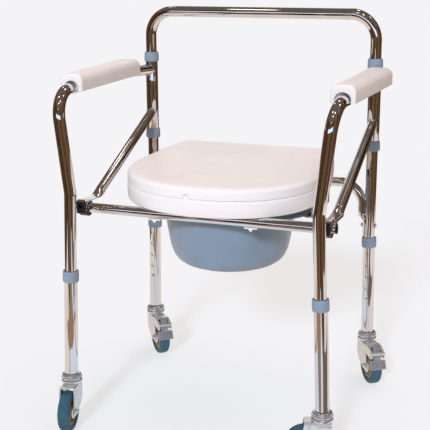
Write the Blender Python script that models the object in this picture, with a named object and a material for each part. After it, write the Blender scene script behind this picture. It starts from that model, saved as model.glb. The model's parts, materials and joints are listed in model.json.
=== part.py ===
"""Wheeled commode chair, modelled at its real size in metres, +Z up.

The chair faces -Y. Left and right are those of someone who stands in front of it and looks at it:
left is -X. Every piece is its own object. Moving pieces have their origin, or the origin of the
empty that carries them, on the axis that they move about.

Inside the chair's own frame (the empty called chair) the two rear uprights stand on y = 0 and the
middle plane is x = 0. The world origin is on the floor under the middle of the whole outline, so
the empty is shifted from it by FOOTPRINT_X and FOOTPRINT_Y.
"""
import math

import bmesh
import bpy
from mathutils import Vector

# Clearances
GAP = 0.0003
RUNNING_GAP = 0.0003

# Place of the chair's own frame in the world
FOOTPRINT_X = 0.0040
FOOTPRINT_Y = -0.2205

# Tubes
FRAME_TUBE = 0.022
TUBE_WALL = 0.0012
OUTER_TUBE = FRAME_TUBE + 2 * (RUNNING_GAP + TUBE_WALL)
BAR_TUBE = 0.019
TUBE_SIDES = 16
BAR_SIDES = 14
CUT_SIDES = 24
SCREW_SIDES = 12
BEND_STEP = math.radians(22.5)

# Castors
WHEEL_DIAMETER = 0.075
WHEEL_SIDES = 24
TYRE_WIDTH = 0.0215
TYRE_SHOULDER = 0.0055
TYRE_SHOULDER_DROP = 0.0048
CORE_DIAMETER = 0.053
CORE_SETBACK = 0.0020
HUB_DIAMETER = 0.027
AXLE_DIAMETER = 0.0060
AXLE_PLAY = 0.00036
AXLE_HEAD = 0.0110
AXLE_HEAD_HEIGHT = 0.0040
CASTOR_TRAIL = 0.029
FORK_SHEET = 0.0025
FORK_SIDE_GAP = 0.0017
FORK_AHEAD = 0.0160
FORK_BEHIND_AXLE = 0.0020
FORK_SHOULDER = 0.0270
FORK_TAPER_STEPS = 3
FORK_LOBE = 0.0105
CROWN_CLEARANCE = 0.0080
CROWN_UNDER = WHEEL_DIAMETER + CROWN_CLEARANCE
CROWN_PLATE_TOP = CROWN_UNDER + FORK_SHEET
CROWN_TOP = CROWN_PLATE_TOP + 0.0075
RACE_DIAMETER = 0.038
RACE_HEIGHT = 0.0090
RACE_EDGE = 0.0018
CUP_DIAMETER = 0.041
CUP_HEIGHT = 0.0105
CUP_COLLAR = 0.0030
CUP_EDGE = 0.0020
CROWN_DIAMETER = RACE_DIAMETER + 0.001
CROWN_ROUND = 0.0022
KINGPIN = 0.0080
KINGPIN_HEAD = 0.0150
KINGPIN_HEAD_HEIGHT = 0.0022
CASTOR_HEIGHT = CROWN_TOP + RACE_HEIGHT + CUP_HEIGHT
PLUG_DIAMETER = FRAME_TUBE + 2 * RUNNING_GAP - 0.0041
PLUG_LENGTH = 0.030
# Directions that the castors point at rest, as angles from +X towards +Y
CASTOR_HEADINGS = {
    "front_left": math.radians(-80),
    "front_right": math.radians(197),
    "rear_left": math.radians(-48),
    "rear_right": math.radians(-57.4),
}

# Brakes of the rear castors
PEDAL_CLEARANCE = 0.0056
PEDAL_BEARING = math.radians(47.2)
PEDAL_PIN = 0.0052
PEDAL_PIN_OVERHANG = 0.0008
PEDAL_WIDTH = 0.033
PEDAL_TOP_OUT = 0.0055
PEDAL_TOP_DROP = 0.0103
PEDAL_TOE_OUT = 0.0120
PEDAL_TOE_DROP = 0.0256
PEDAL_SHEET = 0.0018
TAB_WIDTH = 0.0155
TAB_HEIGHT = 0.0205
TAB_THICKNESS = 0.0040
TAB_BEHIND = 0.0075
HOOD_SHEET = 0.0023
HOOD_FLAT = 0.0150
HOOD_LIP_BEHIND = 0.0080
HOOD_LIP_ABOVE = 0.0068
HOOD_WINDOW_AHEAD = 0.0140
HOOD_WINDOW_BEHIND = 0.0030
HOOD_WINDOW_WIDTH = 0.0200
CHEEK_UNDER_PIVOT = 0.0052
CHEEK_BEYOND_PIVOT = 0.0075

# Lower legs
LEG_BOTTOM = CASTOR_HEIGHT
LEG_LENGTH = 0.191
LEG_TOP = LEG_BOTTOM + LEG_LENGTH
LEG_COLLAR_HEIGHT = 0.021
LEG_COLLAR_LIP = 0.0032
HOLE_PITCH = 0.025
HOLE_COUNT = 5
LOWEST_HOLE = LEG_BOTTOM + 0.0625
BUTTON_DIAMETER = 0.0080
BUTTON_PROUD = 0.0030
BUTTON_BEHIND_WALL = 2 * GAP
HOLE_DIAMETER = BUTTON_DIAMETER + 2 * GAP
HOLE_SIDES = 10
INNER_TUBE_END = LOWEST_HOLE - 0.020
COLLAR_DIAMETER = OUTER_TUBE + 0.005
COLLAR_EDGE = 0.0012

# Back frame
UPRIGHT_SPACING = 0.475
RAIL_BEND = 0.050
UPRIGHT_ABOVE_COLLAR = 0.034
# The uprights bend outwards a little just above the rear legs
REAR_SPLAY = math.radians(0.9)
REAR_KINK_HEIGHT = LEG_TOP + GAP + LEG_COLLAR_LIP + 0.0015
REAR_KINK_BEND = 0.060

# Front crossbar, in its place behind the front legs
FRAME_DEPTH = 0.395
FRONT_BAR_HEIGHT = 0.412
FRONT_BAR_SETBACK = 0.060
FRONT_BAR_Y = FRONT_BAR_SETBACK - FRAME_DEPTH
FRONT_BAR_OVERHANG = 0.0032

# Side frames
FRONT_LEG_SPACING = UPRIGHT_SPACING - 0.0166
LEG_SPLAY = math.radians(2.32)
KINK_HEIGHT = FRONT_BAR_HEIGHT + 0.040
KINK_BEND = 0.060
ARM_OUTSET = 0.0205
ARM_REAR_KNEE = 0.080
ARM_REAR_BEND = 0.060
ARM_HEIGHT = 0.632
ARM_BEND = 0.050
SLEEVE_LENGTH = 0.1414
SLEEVE_TOP = ARM_HEIGHT + 0.0157
SLEEVE_BOTTOM = SLEEVE_TOP - SLEEVE_LENGTH
SLEEVE_COLLAR_HEIGHT = 0.020
RAIL_HEIGHT = SLEEVE_TOP + GAP + SLEEVE_COLLAR_HEIGHT + UPRIGHT_ABOVE_COLLAR + RAIL_BEND

# Cradles and the stubs that carry them
STRAP_WIDTH = 0.024
STRAP_THICKNESS = 0.0050
STRAP_ANGLES = (math.radians(-50), math.radians(192))
CRADLE_WIDTH = 0.016
CRADLE_THICKNESS = 0.0058
CRADLE_FOOT = 0.0065
CRADLE_FREE_ANGLE = math.radians(5)
CRADLE_UNDER_ANGLE = math.radians(225)
STUB_DIAMETER = 0.016
STUB_RISE = 0.0070
STUB_ROOT_SHARE = 0.9
STUB_ROOT_TAPER = 0.35
SPIGOT_DIAMETER = 0.009
SPIGOT_LENGTH = 0.0035

# Braces
BRACE_FOOT_OUTSET = 0.0027
BRACE_FLAT = 0.0044
BRACE_FLAT_SHARE = 0.97
BRACE_CRIMP_BACK = 0.052
BRACE_CRIMP_RISE = 0.0095
BRACE_BLEND = 0.026
BRACE_HEAD_HEIGHT = SLEEVE_BOTTOM + 0.0377

# Arm pads
PAD_BEHIND_BEND = 0.0080
PAD_REAR = 0.060
PAD_FRONT_INSET = 0.0015
PAD_REAR_OUTSET = 0.0010
PAD_FRONT_WIDTH = 0.0435
PAD_REAR_WIDTH = 0.0520
PAD_ABOVE_AXIS = FRAME_TUBE / 2 + 0.0160
PAD_BELOW_AXIS = 0.0045
PAD_CORNER = 0.0140
PAD_MOUTH = FRAME_TUBE + 0.0065
PAD_MOUTH_DEPTH = 0.0070
PAD_FRONT_ROUND = 0.0045
PAD_FRONT_ROUND_DEPTH = 0.0050
PAD_REAR_ROUND = 0.0140
PAD_REAR_ROUND_DEPTH = 0.0100

# Seat
SEAT_BACK = 0.008
SEAT_OVERHANG = 0.032
SEAT_LENGTH = SEAT_BACK + SEAT_OVERHANG - FRONT_BAR_Y
SEAT_WIDTH = 0.375
SEAT_BACK_WIDTH = SEAT_WIDTH - 0.049
SEAT_WIDEST = 0.205
SEAT_CORNER = 0.018
SEAT_SLOPE = math.radians(2.1)
SEAT_ABOVE_BAR = GAP + 0.0002
RING_HEIGHT = 0.031
RING_ROUND = 0.0050
SHELL_WALL = 0.0032
HOLE_WIDTH = 0.230
HOLE_LENGTH = 0.262
HOLE_CENTRE = 0.200
HOLE_ROUND = 0.0040
HOLE_SKIRT_BOTTOM = 0.0100
FRONT_STEPS = 7
SIDE_STEPS = 4
CORNER_STEPS = 3
BACK_STEPS = 1

# Clips of the seat ring
CLIP_WIDTH = 0.024
CLIP_PLAY = 0.0007
CLIP_SHEET = 0.0034
CLIP_FOOT_SHEET = 0.0022
CLIP_FOOT_REACH = 0.0030
CLIP_FOOT_SHARE = 0.6
FRONT_CLIP_SPACING = 0.184
BARB_HEIGHT = 0.0048
BARB_WIDTH = 0.0090
BARB_TIP = 0.0020
BARB_DEPTH = 0.0054
REAR_CLIP_SPACING = 0.220
REAR_CLIP_AHEAD = 0.0040
REAR_CLIP_BEHIND = 0.0060

# Lid and its hinge
LID_HEIGHT = 0.0215
LID_BACK = 0.0115
LID_ROUND = 0.0160
LID_CROWN = 0.0020
LID_MIDDLE_WIDTH = 0.20
LID_MIDDLE_LENGTH = 0.22
LID_INSET = 0.0012
HINGE_AHEAD = 0.0060
HINGE_PIN = 0.005
HINGE_POST = 0.014
HINGE_POST_DEPTH = 0.0100
HINGE_POST_TOP = 0.0052
HINGE_PIN_OVERHANG = 0.0040
KNUCKLE = 0.0130
KNUCKLE_LENGTH = 0.110
KNUCKLE_RISE = 0.0008
POCKET_PLAY = 0.0012
POCKET_AHEAD = 0.0095

# Rear crossbar, with feet pressed to saddles that hug the uprights
REAR_BAR_HEIGHT = FRONT_BAR_HEIGHT - FRONT_BAR_Y * math.tan(SEAT_SLOPE) - 0.0073
REAR_BAR_INSET = 0.016
REAR_BAR_BEND = 0.0465
REAR_BAR_END = REAR_KINK_HEIGHT + 0.0010
SADDLE_DEPTH = 0.012
SADDLE_WIDTH = FRAME_TUBE + 0.0018
SADDLE_PROUD = 0.0026
SADDLE_ABOVE_BOLT = 0.012
SADDLE_BLEND = 0.013
BOLT_HEIGHT = REAR_BAR_END + 0.0215
BOLT_DIAMETER = 0.0050
BOLT_HEAD = 0.0100
BOLT_HEAD_HEIGHT = 0.0028
NUT_DIAMETER = 0.0090
NUT_HEIGHT = 0.0035

# Bucket and its rails
BUCKET_UNDER_BAR = 0.0040
BUCKET_TOP = REAR_BAR_HEIGHT - BAR_TUBE / 2 - BUCKET_UNDER_BAR
BUCKET_DEPTH = 0.115
BUCKET_DIAMETER = 0.256
BUCKET_WALL = 0.0025
BUCKET_SIDES = 26
BUCKET_FLOOR_INSET = 0.058
BUCKET_BEHIND_BAR = 0.0095
FLANGE_WIDTH = SEAT_WIDTH - 0.031
FLANGE_LENGTH = BUCKET_DIAMETER + 0.016
FLANGE_THICKNESS = 0.0032
BUCKET_Y = FRONT_BAR_Y + BAR_TUBE / 2 + BUCKET_BEHIND_BAR + FLANGE_LENGTH / 2
RAIL_SHEET = 0.0020
RAIL_LIP = 0.013
RAIL_PLAY = 0.0010
RAIL_AHEAD = 0.028
RAIL_BEHIND = 0.102

SIDES = {"left": -1, "right": 1}
CORNERS = [(end, side) for end in ("front", "rear") for side in ("left", "right")]

# Plain colours, as sRGB 0 to 255, with roughness and metallic
FINISHES = {
    "chrome": ((196, 192, 188), 0.12, 1.0),
    "zinc": ((185, 181, 172), 0.35, 1.0),
    "pad_plastic": ((236, 232, 230), 0.45, 0.0),
    "seat_plastic": ((238, 234, 232), 0.40, 0.0),
    "collar_plastic": ((128, 147, 166), 0.50, 0.0),
    "bucket_plastic": ((129, 150, 172), 0.40, 0.0),
    "liner_plastic": ((24, 24, 26), 0.60, 0.0),
    "tyre_rubber": ((47, 95, 122), 0.65, 0.0),
    "core_plastic": ((160, 136, 96), 0.50, 0.0),
    "pedal_steel": ((140, 140, 150), 0.45, 1.0),
}


def clear_scene():
    """Removes whatever the file holds."""
    for obj in list(bpy.data.objects):
        bpy.data.objects.remove(obj, do_unlink=True)


def to_linear(channel):
    """Turns one sRGB channel, 0 to 255, to a linear value."""
    value = channel / 255.0
    return value / 12.92 if value <= 0.04045 else ((value + 0.055) / 1.055) ** 2.4


def finish(name):
    """Returns the Principled material of that name, made when it is first asked for."""
    material = bpy.data.materials.get(name)
    if material is None:
        colour, roughness, metallic = FINISHES[name]
        material = bpy.data.materials.new(name)
        material.use_nodes = True
        shader = material.node_tree.nodes["Principled BSDF"]
        shader.inputs["Base Color"].default_value = (*[to_linear(c) for c in colour], 1.0)
        shader.inputs["Roughness"].default_value = roughness
        shader.inputs["Metallic"].default_value = metallic
        material.diffuse_color = (*[c / 255.0 for c in colour], 1.0)
    return material


def add_empty(name, parent=None, place=(0, 0, 0), turn=(0, 0, 0)):
    """An empty that carries other objects."""
    empty = bpy.data.objects.new(name, None)
    bpy.context.collection.objects.link(empty)
    empty.parent = parent
    empty.location = place
    empty.rotation_euler = turn
    return empty


def add_piece(name, mesh, parent, material, place=(0, 0, 0), turn=(0, 0, 0), smooth=40):
    """Links a mesh as one named piece, smooth but for edges sharper than the angle given."""
    if smooth:
        mesh.shade_smooth()
        mesh.set_sharp_from_angle(angle=math.radians(smooth))
    piece = bpy.data.objects.new(name, mesh)
    bpy.context.collection.objects.link(piece)
    piece.parent = parent
    piece.location = place
    piece.rotation_euler = turn
    if not mesh.materials:
        mesh.materials.append(finish(material))
    return piece


def finished_mesh(name, verts, faces):
    """A mesh with its faces turned outwards."""
    mesh = bpy.data.meshes.new(name)
    mesh.from_pydata([tuple(v) for v in verts], [], faces)
    work = bmesh.new()
    work.from_mesh(mesh)
    bmesh.ops.recalc_face_normals(work, faces=work.faces)
    work.to_mesh(mesh)
    work.free()
    return mesh


def bridge(first, second, count):
    """Quads between two rings of points whose first indices are given."""
    quads = []
    for i in range(count):
        j = (i + 1) % count
        quads.append((first + i, first + j, second + j, second + i))
    return quads


def ring_stack(name, rings, closed):
    """A mesh from rings of points that all have the same count.

    With closed the last ring joins the first one, as on a ring-shaped body. Otherwise both ends
    are capped.
    """
    count = len(rings[0])
    verts = [point for ring in rings for point in ring]
    faces = []
    steps = len(rings) if closed else len(rings) - 1
    for k in range(steps):
        faces += bridge(k * count, ((k + 1) % len(rings)) * count, count)
    if not closed:
        faces.append(tuple(range(count)))
        faces.append(tuple(range((len(rings) - 1) * count, len(rings) * count)))
    return finished_mesh(name, verts, faces)


def lathe(name, profile, sides, axis="Z", closed=False, half_turn=False):
    """Turns a profile of (radius, height) round an axis.

    A profile that is closed goes round a hole. An open one starts and ends on flat discs.
    """
    offset = 0.5 if half_turn else 0.0
    rings = []
    for radius, height in profile:
        ring = []
        for k in range(sides):
            angle = 2 * math.pi * (k + offset) / sides
            across = radius * math.cos(angle)
            along = radius * math.sin(angle)
            if axis == "Z":
                ring.append((across, along, height))
            elif axis == "Y":
                ring.append((across, height, along))
            else:
                ring.append((height, across, along))
        rings.append(ring)
    return ring_stack(name, rings, closed)


def prism(name, outline, low, high, across="Y"):
    """An outline of points, carried from low to high along the axis named."""
    rings = []
    for level in (low, high):
        if across == "Y":
            rings.append([(p[0], level, p[1]) for p in outline])
        elif across == "X":
            rings.append([(level, p[0], p[1]) for p in outline])
        else:
            rings.append([(p[0], p[1], level) for p in outline])
    return ring_stack(name, rings, closed=False)


def box(name, low, high):
    """A block between two corners."""
    outline = [(low[0], low[1]), (high[0], low[1]), (high[0], high[1]), (low[0], high[1])]
    return prism(name, outline, low[2], high[2], across="Z")


def arc(centre, radius, start, end, steps):
    """Points on an arc in a plane, both ends included."""
    return [
        (
            centre[0] + radius * math.cos(start + (end - start) * k / steps),
            centre[1] + radius * math.sin(start + (end - start) * k / steps),
        )
        for k in range(steps + 1)
    ]


def rounded_path(corners, bends):
    """A path through corners, each inner corner rounded to its bend radius."""
    points = [Vector(corners[0])]
    for k in range(1, len(corners) - 1):
        corner = Vector(corners[k])
        back = (Vector(corners[k - 1]) - corner).normalized()
        ahead = (Vector(corners[k + 1]) - corner).normalized()
        turn = math.pi - back.angle(ahead)
        reach = bends[k - 1] * math.tan(turn / 2)
        middle = (back + ahead).normalized()
        centre = corner + middle * (bends[k - 1] / math.cos(turn / 2))
        start = corner + back * reach - centre
        end = corner + ahead * reach - centre
        steps = max(2, round(turn / BEND_STEP))
        for i in range(steps + 1):
            points.append(centre + start.slerp(end, i / steps).normalized() * bends[k - 1])
    points.append(Vector(corners[-1]))
    return points


def path_frames(path, side):
    """At each point of a path, two directions across it. The first stays close to side."""
    frames = []
    for k, point in enumerate(path):
        before = path[max(k - 1, 0)]
        after = path[min(k + 1, len(path) - 1)]
        if 0 < k < len(path) - 1:
            tangent = (point - before).normalized() + (after - point).normalized()
        else:
            tangent = after - before
        tangent.normalize()
        first = (Vector(side) - tangent * tangent.dot(Vector(side))).normalized()
        frames.append((first, tangent.cross(first)))
    return frames


def oval_rings(path, sizes, sides, side):
    """Rings along a path. Each size gives the half widths along side and across it."""
    rings = []
    for point, (wide, thick), (first, second) in zip(path, sizes, path_frames(path, side)):
        ring = []
        for k in range(sides):
            angle = 2 * math.pi * k / sides
            ring.append(point + first * (wide * math.cos(angle)) + second * (thick * math.sin(angle)))
        rings.append(ring)
    return rings


def circle_rings(path, radius, sides, side):
    """Round rings of points along a path."""
    return oval_rings(path, [(radius, radius)] * len(path), sides, side)


def shaped_pipe(name, path, sizes, side, sides, wall):
    """A tube with open ends along a path, pressed to another width at each point of it."""
    outside = oval_rings(path, sizes, sides, side)
    inside = oval_rings(path, [(wide - wall, thick - wall) for wide, thick in sizes], sides, side)
    return ring_stack(name, outside + inside[::-1], closed=True)


def pipe(name, path, diameter, side, sides=TUBE_SIDES, wall=TUBE_WALL):
    """A round tube with open ends along a path."""
    return shaped_pipe(name, path, [(diameter / 2, diameter / 2)] * len(path), side, sides, wall)


def combine(target, tool_mesh, operation, place=(0, 0, 0), turn=(0, 0, 0)):
    """Cuts a mesh from a piece, or joins it on, with an exact Boolean. The tool stays hidden."""
    tool = bpy.data.objects.new(f"{target.name}.{operation.lower()}.{len(target.modifiers)}", tool_mesh)
    bpy.context.collection.objects.link(tool)
    tool.parent = target
    tool.location = place
    tool.rotation_euler = turn
    tool.hide_render = True
    tool.display_type = "WIRE"
    modifier = target.modifiers.new(tool.name, "BOOLEAN")
    modifier.operation = operation
    modifier.solver = "EXACT"
    modifier.object = tool


def rod(name, diameter, length, axis, sides=24):
    """A solid bar, centred on the origin, for cutting round holes."""
    return lathe(name, [(diameter / 2, -length / 2), (diameter / 2, length / 2)], sides, axis=axis)


def leg_offset(height):
    """How far a front leg stands from the middle plane at a height below its kink."""
    return FRONT_LEG_SPACING / 2 + (KINK_HEIGHT - height) * math.tan(LEG_SPLAY)


def rear_offset(height):
    """How far a rear leg stands from the middle plane at a height below its kink."""
    return UPRIGHT_SPACING / 2 + (REAR_KINK_HEIGHT - height) * math.tan(REAR_SPLAY)


def build_back_frame(chair):
    """The back: one tube bent to an upside-down U, whose ends go down into the rear lower legs."""
    half = UPRIGHT_SPACING / 2
    low = rear_offset(INNER_TUBE_END)
    corners = [(-low, 0, INNER_TUBE_END), (-half, 0, REAR_KINK_HEIGHT), (-half, 0, RAIL_HEIGHT),
               (half, 0, RAIL_HEIGHT), (half, 0, REAR_KINK_HEIGHT), (low, 0, INNER_TUBE_END)]
    bends = [REAR_KINK_BEND, RAIL_BEND, RAIL_BEND, REAR_KINK_BEND]
    mesh = pipe("back_frame", rounded_path(corners, bends), FRAME_TUBE, (0, 1, 0))
    frame = add_piece("back_frame", mesh, chair, "chrome")
    for sign in SIDES.values():
        hole = rod("button_hole", HOLE_DIAMETER, FRAME_TUBE / 2, "Y", HOLE_SIDES)
        combine(frame, hole, "DIFFERENCE", (sign * rear_offset(LOWEST_HOLE), -FRAME_TUBE / 2, LOWEST_HOLE))
        bolt = rod("bolt_hole", BOLT_DIAMETER + 2 * GAP, 2 * FRAME_TUBE, "X", SCREW_SIDES)
        combine(frame, bolt, "DIFFERENCE", (sign * half, 0, BOLT_HEIGHT))


def build_sleeve_set(chair, name, sign):
    """The outer tube that turns on an upright, and the two plastic collars that hold it in place."""
    half = sign * UPRIGHT_SPACING / 2
    inner = FRAME_TUBE / 2 + RUNNING_GAP
    outer = OUTER_TUBE / 2
    mesh = lathe(f"sleeve_{name}", [(outer, SLEEVE_BOTTOM), (outer, SLEEVE_TOP), (inner, SLEEVE_TOP),
                                    (inner, SLEEVE_BOTTOM)], TUBE_SIDES, closed=True)
    add_piece(f"sleeve_{name}", mesh, chair, "chrome", (half, 0, 0))
    for level, bottom in (("upper", SLEEVE_TOP + GAP), ("lower", SLEEVE_BOTTOM - GAP - SLEEVE_COLLAR_HEIGHT)):
        top = bottom + SLEEVE_COLLAR_HEIGHT
        wide = COLLAR_DIAMETER / 2
        profile = [(inner, bottom), (wide, bottom), (wide, top - COLLAR_EDGE), (wide - COLLAR_EDGE, top),
                   (inner, top)]
        collar = lathe(f"{level}_collar_{name}", profile, TUBE_SIDES, closed=True)
        add_piece(f"{level}_collar_{name}", collar, chair, "collar_plastic", (half, 0, 0))


def arm_path(sign):
    """The bent line of a side frame: up the front leg, back along the arm, in to the sleeve."""
    low = (sign * leg_offset(INNER_TUBE_END), -FRAME_DEPTH, INNER_TUBE_END)
    kink = (sign * FRONT_LEG_SPACING / 2, -FRAME_DEPTH, KINK_HEIGHT)
    top = (sign * (FRONT_LEG_SPACING / 2 + ARM_OUTSET), -FRAME_DEPTH, ARM_HEIGHT)
    knee = (sign * (UPRIGHT_SPACING / 2 + ARM_OUTSET), -ARM_REAR_KNEE, ARM_HEIGHT)
    end = (sign * UPRIGHT_SPACING / 2, 0, ARM_HEIGHT)
    return rounded_path([low, kink, top, knee, end], [KINK_BEND, ARM_BEND, ARM_REAR_BEND])


def build_side_tube(chair, name, sign):
    """Front leg and arm in one bent tube, with the stub that carries the crossbar's cradle."""
    mesh = pipe(f"side_tube_{name}", arm_path(sign), FRAME_TUBE, (1, 0, 0))
    tube = add_piece(f"side_tube_{name}", mesh, chair, "chrome")
    cope = rod("cope", OUTER_TUBE + 2 * GAP, 3 * FRAME_TUBE, "Z", CUT_SIDES)
    combine(tube, cope, "DIFFERENCE", (sign * UPRIGHT_SPACING / 2, 0, ARM_HEIGHT))
    hole = rod("button_hole", HOLE_DIAMETER, FRAME_TUBE / 2, "Y", HOLE_SIDES)
    combine(tube, hole, "DIFFERENCE",
            (sign * leg_offset(LOWEST_HOLE), -FRAME_DEPTH + FRAME_TUBE / 2, LOWEST_HOLE))
    radius = STUB_DIAMETER / 2
    spigot = SPIGOT_DIAMETER / 2
    root = -FRAME_DEPTH + FRAME_TUBE / 2 - TUBE_WALL * STUB_ROOT_SHARE
    face = FRONT_BAR_Y - cradle_front() - GAP
    profile = [(spigot, root), (radius, root + radius * STUB_ROOT_TAPER), (radius, face), (spigot, face),
               (spigot, face + SPIGOT_LENGTH)]
    stub = lathe("stub", profile, SCREW_SIDES, axis="Y")
    level = FRONT_BAR_HEIGHT + STUB_RISE
    combine(tube, stub, "UNION", (sign * leg_offset(level), 0, level))


def cradle_front():
    """Distance from the crossbar's axis to the cradle's front face."""
    return BAR_TUBE / 2 + 3 * GAP + STRAP_THICKNESS + CRADLE_THICKNESS


def build_cradle(chair, name, sign):
    """The black plastic cradle on a side tube's stub, in which the front crossbar lies."""
    centre = (FRONT_BAR_Y, FRONT_BAR_HEIGHT)
    inner = BAR_TUBE / 2 + GAP
    clear = inner + STRAP_THICKNESS + 2 * GAP
    outer = inner + CRADLE_THICKNESS
    front = cradle_front()
    step = STRAP_ANGLES[1] + CRADLE_FREE_ANGLE
    tail = 2 * math.pi + STRAP_ANGLES[0] - CRADLE_FREE_ANGLE
    level = centre[1] + STUB_RISE
    low = centre[1] - CRADLE_FOOT
    high = level + STUB_DIAMETER / 2
    lip = centre[0] - clear
    outline = [(centre[0] - front, low), (centre[0] - front, high), (lip, high)]
    outline += arc(centre, clear, math.pi - CRADLE_FREE_ANGLE, step, 2) + arc(centre, inner, step, tail, 7)
    outline += arc(centre, outer, tail, CRADLE_UNDER_ANGLE, 6)
    across = sign * leg_offset(level)
    mesh = prism(f"cradle_{name}", outline, across - CRADLE_WIDTH / 2, across + CRADLE_WIDTH / 2, across="X")
    cradle = add_piece(f"cradle_{name}", mesh, chair, "liner_plastic", smooth=30)
    socket = rod("socket", SPIGOT_DIAMETER + 2 * GAP, 2 * (SPIGOT_LENGTH + GAP), "Y", 16)
    combine(cradle, socket, "DIFFERENCE", (across, centre[0] - front, level))


def build_brace(chair, name, sign):
    """The sloping brace: coped on its sleeve, pressed flat at its foot and hooked over the bar."""
    bar = Vector((0, FRONT_BAR_Y, FRONT_BAR_HEIGHT))
    foot_x = sign * (leg_offset(FRONT_BAR_HEIGHT) + BRACE_FOOT_OUTSET)
    flat = (STRAP_WIDTH / 2 * BRACE_FLAT_SHARE, BRACE_FLAT / 2)
    foot = Vector((foot_x, bar.y, bar.z + BAR_TUBE / 2 + GAP + STRAP_THICKNESS - BRACE_FLAT * 0.55))
    crimp = bar + Vector((foot_x, BRACE_CRIMP_BACK, BRACE_CRIMP_RISE))
    head = Vector((sign * UPRIGHT_SPACING / 2, 0, BRACE_HEAD_HEIGHT))
    round_part = (head - crimp).length
    radius = BAR_TUBE / 2
    path = [foot, foot.lerp(crimp, 0.75)]
    mixes = [0.0, 0.0]
    for mix in (0.08, 0.45, 0.85, 1.0):
        path.append(crimp.lerp(head, BRACE_BLEND * mix / round_part))
        mixes.append(mix)
    path.append(head)
    mixes.append(1.0)
    sizes = [(flat[0] + (radius - flat[0]) * mix, flat[1] + (radius - flat[1]) * mix) for mix in mixes]
    body = ring_stack(f"brace_{name}", oval_rings(path, sizes, BAR_SIDES, (1, 0, 0)), closed=False)
    brace = add_piece(f"brace_{name}", body, chair, "chrome")
    inner = BAR_TUBE / 2 + GAP
    outer = inner + STRAP_THICKNESS
    start, end = STRAP_ANGLES
    outline = arc((bar.y, bar.z), outer, start, end, 18) + arc((bar.y, bar.z), inner, end, start, 18)
    strap = prism("strap", outline, -STRAP_WIDTH / 2, STRAP_WIDTH / 2, across="X")
    combine(brace, strap, "UNION", (foot_x, 0, 0))
    cope = rod("cope", OUTER_TUBE + 2 * GAP, SLEEVE_LENGTH, "Z", CUT_SIDES)
    combine(brace, cope, "DIFFERENCE", (head.x, 0, head.z))


def build_crossbars(chair):
    """The front crossbar, the rear crossbar bent to an arch, and the bolts that hold the arch."""
    y = FRONT_BAR_Y
    half = leg_offset(FRONT_BAR_HEIGHT) + FRONT_BAR_OVERHANG
    path = [Vector((-half, y, FRONT_BAR_HEIGHT)), Vector((half, y, FRONT_BAR_HEIGHT))]
    add_piece("front_crossbar", pipe("front_crossbar", path, BAR_TUBE, (0, 1, 0), BAR_SIDES), chair, "chrome")
    upright = UPRIGHT_SPACING / 2
    touch = upright - FRAME_TUBE / 2 - GAP
    radius = BAR_TUBE / 2
    deep = SADDLE_DEPTH / 2
    saddle = touch - SADDLE_PROUD + deep
    knee = upright - REAR_BAR_INSET
    shoulder = BOLT_HEIGHT + SADDLE_ABOVE_BOLT
    blend = shoulder + SADDLE_BLEND
    bend = min(REAR_BAR_BEND, REAR_BAR_HEIGHT - blend - BAR_TUBE / 4)
    corners = [(-knee, 0, blend), (-knee, 0, REAR_BAR_HEIGHT), (knee, 0, REAR_BAR_HEIGHT), (knee, 0, blend)]
    middle = rounded_path(corners, [bend] * 2)[1:-1]
    foot = [(saddle, deep, SADDLE_WIDTH / 2, REAR_BAR_END), (saddle, deep, SADDLE_WIDTH / 2, shoulder),
            ((saddle + knee) / 2, (deep + radius) / 2, (radius + SADDLE_WIDTH / 2) / 2, blend)]
    path = [Vector((-x, 0, z)) for x, _, _, z in foot] + middle
    path += [Vector((x, 0, z)) for x, _, _, z in foot[::-1]]
    sizes = [(half_y, half_x) for _, half_x, half_y, _ in foot]
    sizes = sizes + [(radius, radius)] * len(middle) + sizes[::-1]
    mesh = shaped_pipe("rear_crossbar", path, sizes, (0, 1, 0), BAR_SIDES, TUBE_WALL)
    arch = add_piece("rear_crossbar", mesh, chair, "chrome")
    bolt = BOLT_DIAMETER / 2
    for name, sign in SIDES.items():
        seat = rod("upright_seat", FRAME_TUBE + 2 * GAP, UPRIGHT_SPACING, "Z", CUT_SIDES)
        combine(arch, seat, "DIFFERENCE", (sign * upright, 0, BOLT_HEIGHT))
        hole = rod("bolt_hole", BOLT_DIAMETER + 2 * GAP, BAR_TUBE, "X", SCREW_SIDES)
        combine(arch, hole, "DIFFERENCE", (sign * (touch - BAR_TUBE / 4), 0, BOLT_HEIGHT))
        inside = touch - SADDLE_PROUD - GAP
        outside = upright + FRAME_TUBE / 2 + GAP
        nut = NUT_DIAMETER / 2
        head = BOLT_HEAD / 2
        profile = [(nut, inside - NUT_HEIGHT), (nut, inside), (bolt, inside), (bolt, outside),
                   (head, outside), (head * 0.9, outside + BOLT_HEAD_HEIGHT * 0.6),
                   (head * 0.5, outside + BOLT_HEAD_HEIGHT)]
        mesh = lathe(f"crossbar_bolt_{name}", [(r, sign * x) for r, x in profile], SCREW_SIDES, axis="X")
        add_piece(f"crossbar_bolt_{name}", mesh, chair, "zinc", (0, 0, BOLT_HEIGHT))


def pad_section(width, inset):
    """Section of an arm pad as (across, up) about the arm's axis."""
    wide = width / 2 - inset
    top = PAD_ABOVE_AXIS - inset
    low = -PAD_BELOW_AXIS
    corner = PAD_CORNER
    outline = [(-wide, low)] + arc((-wide + corner, top - corner), corner, math.pi, math.pi / 2, 5)
    outline += arc((wide - corner, top - corner), corner, math.pi / 2, 0, 5) + [(wide, low)]
    return outline


def quarter_round(length, inset, steps):
    """Pairs of (distance from the end, inset) along a quarter oval that rounds an end off."""
    angles = [math.pi / 2 * k / steps for k in range(steps + 1)]
    return [(length * (1 - math.cos(a)), inset * (1 - math.sin(a))) for a in angles]


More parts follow.
